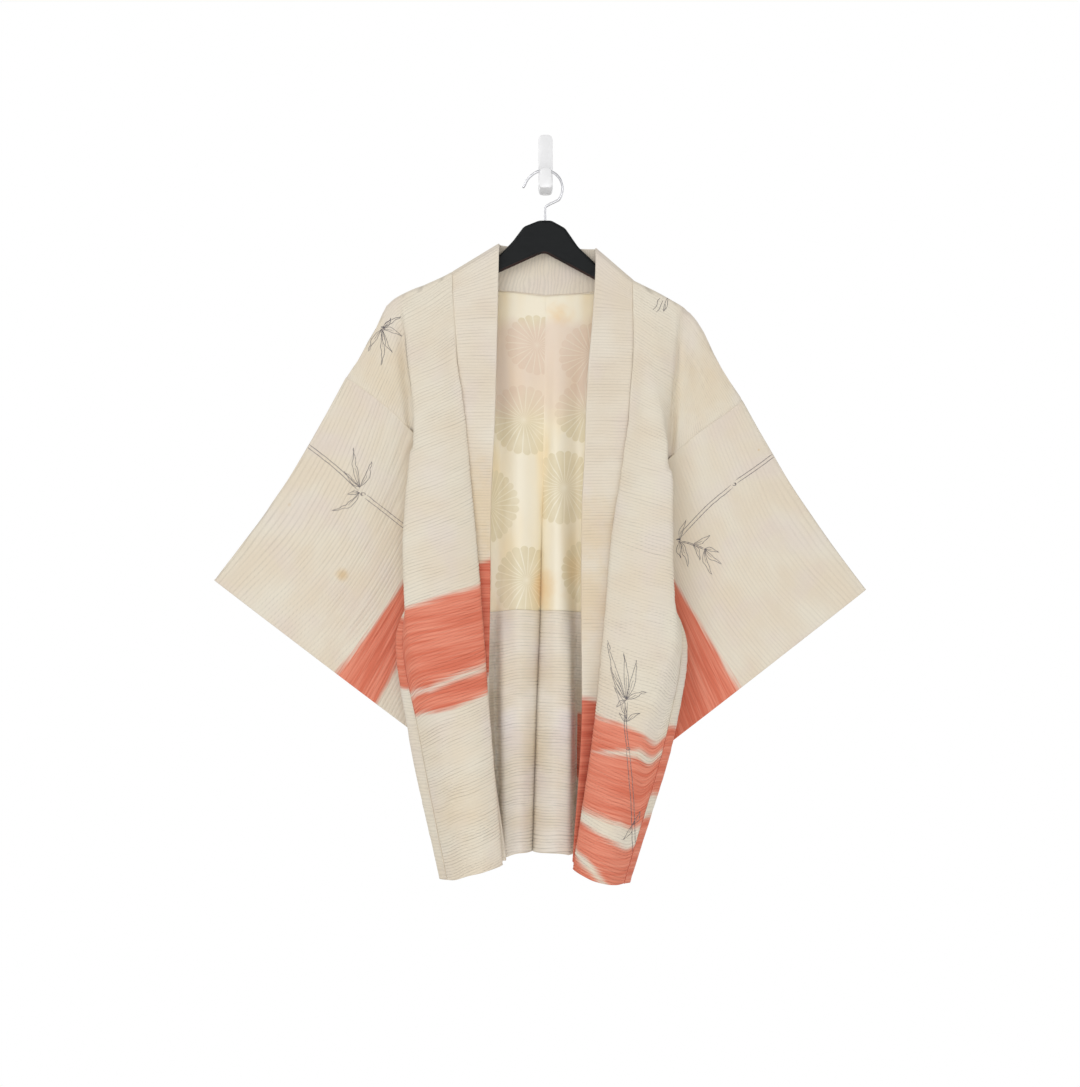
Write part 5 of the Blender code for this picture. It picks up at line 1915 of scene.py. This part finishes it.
# Bands of dye by piece, and the pale gaps in them, each as its upper and its lower line
BANDS = {
    "front_right": (
        Band(((0, 432), (1, 420), (3, 433), (5, 427)), ((0, 560), (1, 570), (3, 577), (5, 569))),
        Band(((0, 524), (1, 530), (3, 544), (5, 538)), ((0, 527), (1, 534), (3, 548), (5, 541)), True)),
    "gusset_right": (Band(((0, 422), (1, 420)), ((0, 530), (1, 526))),),
    "back_right": (Band(((0, 436), (2, 424), (4, 431)), ((0, 566), (2, 578), (4, 561))),
                   Band(((0, 520), (4, 534)), ((0, 527), (4, 540)), True)),
    "front_left": (
        Band(((0, 592), (2, 593), (3, 600), (5, 609)), ((0, 930), (5, 930))),
        Band(((0, 660), (1, 648), (2, 631), (3, 622), (5, 630)),
             ((0, 640), (1, 640), (2, 634), (3, 631), (5, 639)), True),
        Band(((0, 718), (1, 720), (3, 721), (5, 729)), ((0, 732), (1, 735), (3, 747), (5, 753)), True),
        Band(((0, 768), (1, 772), (3, 798), (5, 826)), ((0, 774), (1, 780), (3, 805), (5, 824)), True)),
    "gusset_left": (Band(((0, 594), (1, 598)), ((0, 930), (1, 930))),
                    Band(((0, 690), (1, 694)), ((0, 718), (1, 716)), True)),
    "back_left": (Band(((0, 586), (2, 601), (4, 594)), ((0, 782), (1.6, 788), (3.2, 930), (4, 930))),
                  Band(((0, 712), (2, 726), (4, 719)), ((0, 741), (2, 752), (4, 744)), True)),
    "turn_up_left": (
        Band(((0, 1500), (1.5, 1300), (1.95, 600), (4, 590)), ((0, 690), (1.9, 694), (4, 700))),),
    "sleeve_right": (Band(((0, 246), (0.3, 242), (0.7, 232), (1, 226)),
                          ((0, 312), (0.3, 310), (0.7, 303), (1, 300))),),
    "sleeve_left": (Band(((0, 266), (0.3, 254), (0.6, 242), (1, 234)),
                         ((0, 466), (0.5, 471), (1, 464))),),
    "collar_right": (Band(((0, 409), (1, 412)), ((0, 562), (1, 568))),),
    "collar_left": (Band(((0, 587), (1, 584)), ((0, 960), (1, 960))),)}


def creases(name: str) -> tuple[Crease, ...]:
    """The creases of one piece."""
    return tuple(Crease(tuple(zip(row[2::2], row[3::2])), *row[:2]) for row in CREASES.get(name, ()))


def sprigs() -> list[tuple[str, Sprig]]:
    """Bamboo drawings, each with the solid whose cloth carries it."""
    front = stalk(((109, -738), (108, -768), (111, -799)), 3.0)
    front += stalk(((111, -803), (117, -870), (120, -942)), 4.2) + knot((111, -801), 4, 3)
    front += leaves((109, -735), ((84, -655, 7, 3), (88, -691, 6, 2), (106, -671, 6, -2),
                                  (123, -681, 7, -3), (137, -725, 6, 2), (96, -745, 5, -2)))
    front += leaves((110, -764), ((128, -753, 5, 2), (99, -752, 5, 1), (92, -716, 6, -2)))
    front += leaves((117, -905), ((104, -924, 5, 2), (128, -886, 5, -2)))
    shoulder = knot((-224, -229), 4, 5)
    shoulder += leaves((-224, -229), ((-198, -212, 5, 2), (-212, -214, 5, -2), (-197, -239, 6, 3),
                                      (-210, -262, 6, -3), (-226, -279, 6, 2), (-244, -260, 6, -2)))
    arm = stalk(((-330, -386), (-287, -420), (-256, -449)), 4.4) + knot((-250, -456), 4, 8)
    arm += stalk(((-247, -459), (-220, -480), (-186, -507)), 5.0)
    arm += leaves((-255, -446), ((-264, -392, 6, 3), (-239, -411, 7, -2), (-277, -424, 5, 2)))
    arm += leaves((-255, -454), ((-294, -478, 6, 6), (-272, -456, 5, -1)))
    other = stalk(((314, -402), (288, -421), (262, -439)), 4.4) + knot((259, -442), 3, 9)
    other += stalk(((256, -445), (222, -474), (186, -512)), 4.4) + knot((183, -520), 4, 11)
    other += leaves((184, -520), ((193, -491, 5, 2), (186, -544, 6, -2), (196, -556, 6, 2)))
    other += stalk(((186, -521), (203, -525), (218, -531)), 1.6)
    other += leaves((203, -525), ((226, -512, 6, -2), (212, -547, 5, 2)))
    other += leaves((218, -531), ((238, -536, 5, 2), (229, -567, 6, -3), (242, -552, 6, -2)))
    dash = [Stroke(((147, -204), (152, -196), (157, -187)), 0.7),
            Stroke(((152, -207), (156, -200), (161, -190)), 0.7)]
    dash += leaf((162, -206), (169, -184), 4, 1)
    back = stalk(((-70, -402), (-80, -438), (-84, -482)), 4.2) + knot((-68, -398), 6, 14)
    back += leaves((-68, -396), ((-42, -354, 7, 2), (-70, -342, 7, -3), (-100, -364, 6, 2),
                                 (-28, -402, 6, 2), (-42, -440, 7, -3)))
    low = stalk(((92, -716), (84, -770), (88, -830)), 4.2) + knot((93, -712), 6, 16)
    low += leaves((92, -709), ((117, -669, 7, 2), (87, -657, 7, -2), (61, -681, 6, 2),
                               (58, -735, 6, -2)))
    return [("front_left", Sprig("bamboo_on_left_front", front)),
            ("front_right", Sprig("bamboo_on_right_shoulder", shoulder)),
            ("sleeve_right", Sprig("bamboo_on_right_sleeve", arm)),
            ("sleeve_left", Sprig("bamboo_on_left_sleeve", other)),
            ("front_left", Sprig("bamboo_on_left_shoulder", dash)),
            ("back_right", Sprig("bamboo_on_right_back", back, behind=True)),
            ("sleeve_left", Sprig("bamboo_on_left_sleeve_back", low, behind=True))]


FLOWERS = {
    Side.RIGHT: (Flower((-32, -354), 51, 24, 0.2), Flower((-76, -474), 53, 26, 1.1),
                 Flower((-24, -575), 50, 24, 2.0), Flower((-12, -251), 44, 22, 0.7),
                 Flower((-118, -382), 46, 24, 1.6), Flower((-116, -580), 46, 22, 0.4)),
    Side.LEFT: (Flower((24, -447), 54, 26, 0.5), Flower((62, -262), 46, 22, 1.3),
                Flower((58, -340), 46, 22, 0.1), Flower((96, -500), 48, 24, 0.9),
                Flower((52, -562), 46, 22, 1.9), Flower((118, -404), 46, 24, 2.6))}
# WARM is the tone of the fronts' warm patches and of the collar's painted warm shade; ORANGE is the
# tone of the lining's stains.
WARM, ORANGE = (224, 200, 160), (240, 198, 132)
LINING_SPOTS = (Spot((20, -206), 35, 26, ORANGE, 0.6), Spot((2, -585), 35, 34, ORANGE, 0.45),
                Spot((34, -560), 35, 30, ORANGE, 0.3))
FINISHES = {
    "sleeve_right": CrepeFinish("crepe_right_sleeve", spots=(
        Spot((-280, -566), 33, 13, strength=0.55), Spot((-352, -470), 33, 4, strength=0.3))),
    "sleeve_left": CrepeFinish("crepe_left_sleeve", spots=(
        Spot((293, -395), 33, 2.4, strength=0.6), Spot((300, -487), 33, 2.0, strength=0.6),
        Spot((345, -600), 33, 2.6, strength=0.6), Spot((384, -615), 33, 2.2, strength=0.6))),
    "front": CrepeFinish("crepe_front", spots=(
        Spot((214, -312), 38, 66, WARM, 0.3), Spot((-214, -300), 38, 56, WARM, 0.3),
        Spot((-120, -886), 100, 64, WARM, 0.25))),
    # The turn-up's pale tone is lighter than the body's: painted light that brightens its shaded
    # inside.
    "turn_up": CrepeFinish("crepe_turn_up", pale=(240, 233, 222), blush=(221, 208, 214),
                           blush_share=0.4),
    # The collar's coral and deep coral are darker than the body's: painted shade of the recessed band.
    "collar": CrepeFinish(
        "crepe_collar", pale=(234, 225, 209), warm=(229, 216, 196), coral=(226, 134, 108),
        deep_coral=(203, 100, 76), spots=(
            # The collar's warm patches low down are painted warm shade.
            Spot((-76, -470), 66, 84, WARM, 0.55), Spot((-72, -560), 70, 70, WARM, 0.5),
            Spot((52, -500), 66, 70, WARM, 0.45), Spot((50, -600), 76, 80, WARM, 0.5)))}


def place_flowers(lining: Piece, flowers: tuple) -> list[tuple[Flower, float, float]]:
    """Finds where flowers of the lining's weave lie on its cloth.

    Args:
        lining: half of the lining.
        flowers: its flowers.

    Returns:
        Each flower with its place across and down the cloth.
    """
    mesh = lining.data
    places, cloth = np.empty((2, len(mesh.vertices), 3))
    mesh.vertices.foreach_get("co", places.ravel())
    mesh.attributes["cloth"].data.foreach_get("vector", cloth.ravel())
    found = []
    for flower in flowers:
        away = places[:, [0, 2]] - np.array(flower.place) * MM
        across, down, _ = cloth[np.argmin(np.hypot(*away.T))]
        found.append((flower, across, down))
    return found


SHEETS = {"front": ((0.20, 0.80), Held.HUNG), "back": ((0.315, 0.785), Held.HUNG),
          "gusset": ((0.055, 0.57), Held.HUNG), "lining": ((0.24, 0.45), Held.HUNG),
          "turn_up": ((0.26, 0.345), Held.FOLDED), "sleeve": ((0.33, 0.98), Held.HUNG),
          "collar": ((0.058, 1.9), Held.FOLDED)}


def dress_body(effects: Effects) -> dict[str, Piece]:
    """Makes and dresses the cloth pieces.

    Args:
        effects: the shared shader groups.

    Returns:
        The cloth pieces by their solid's name.
    """
    pieces = {}
    for side in Side:
        pieces |= BodyHalf(side).build()
    pieces["sleeve_right"] = Sleeve(Side.RIGHT).build()
    pieces["sleeve_left"] = Sleeve(Side.LEFT, ridge=0.13, ripple=0.5, mark=0.4).build()
    pieces["collar"] = CollarBand().build()
    crepes = {key: finish.build(effects) for key, finish in FINISHES.items()}
    plain = CrepeFinish("crepe_body").build(effects)
    for node, piece in pieces.items():
        kind = node.rsplit("_", 1)[0]
        if kind == "lining":
            side = Side.RIGHT if node.endswith("right") else Side.LEFT
            finish = LiningFinish(f"figured_silk_{side.word}", spots=LINING_SPOTS)
            material, slot = finish.build(effects, place_flowers(piece, FLOWERS[side])), "lining"
        else:
            material, slot = crepes.get(node) or crepes.get(kind) or plain, "crepe"
        declare(piece, node, slot, material)
        flat, held = SHEETS[kind]
    return pieces


def dress_hardware() -> None:
    """Makes and dresses the hanger, its hook and the wall hook."""
    lacquer = LacquerFinish("worn_black_lacquer")
    declare(Hanger().build(), "hanger_body", "hanger_black", lacquer.build())
    steel = HardFinish("bright_wire", (226, 226, 229), (214, 214, 217), 300, 3.0, (0.3, 0.38),
                       {"Metallic": 1.0})
    declare(HangerHook().build(), "hanger_hook", "hook_steel", steel.build())
    plastic = HardFinish("pale_plastic", (250, 250, 251), (240, 240, 241), 40, 2.0, (0.22, 0.34),
                         {"Specular IOR Level": 0.6, "Coat Weight": 0.3, "Coat Roughness": 0.1})
    declare(WallHook().build(), "wall_hook", "hook_plastic", plastic.build())


def draw_bamboo(pieces: dict[str, Piece]) -> None:
    """Draws the bamboo on the cloth.

    Args:
        pieces: the cloth pieces by their solid's name.
    """
    bpy.context.view_layer.update()
    ink = InkFinish("dry_ink").build()
    for node, sprig in sprigs():
        declare(sprig.build(pieces[node]), None, "crepe", ink)


def main() -> None:
    """Builds the whole scene."""
    logging.basicConfig(level=logging.INFO, format="%(message)s")
    effects = Effects()
    pieces = dress_body(effects)
    dress_hardware()
    draw_bamboo(pieces)
    Studio().build()


if __name__ == "__main__":
    main()
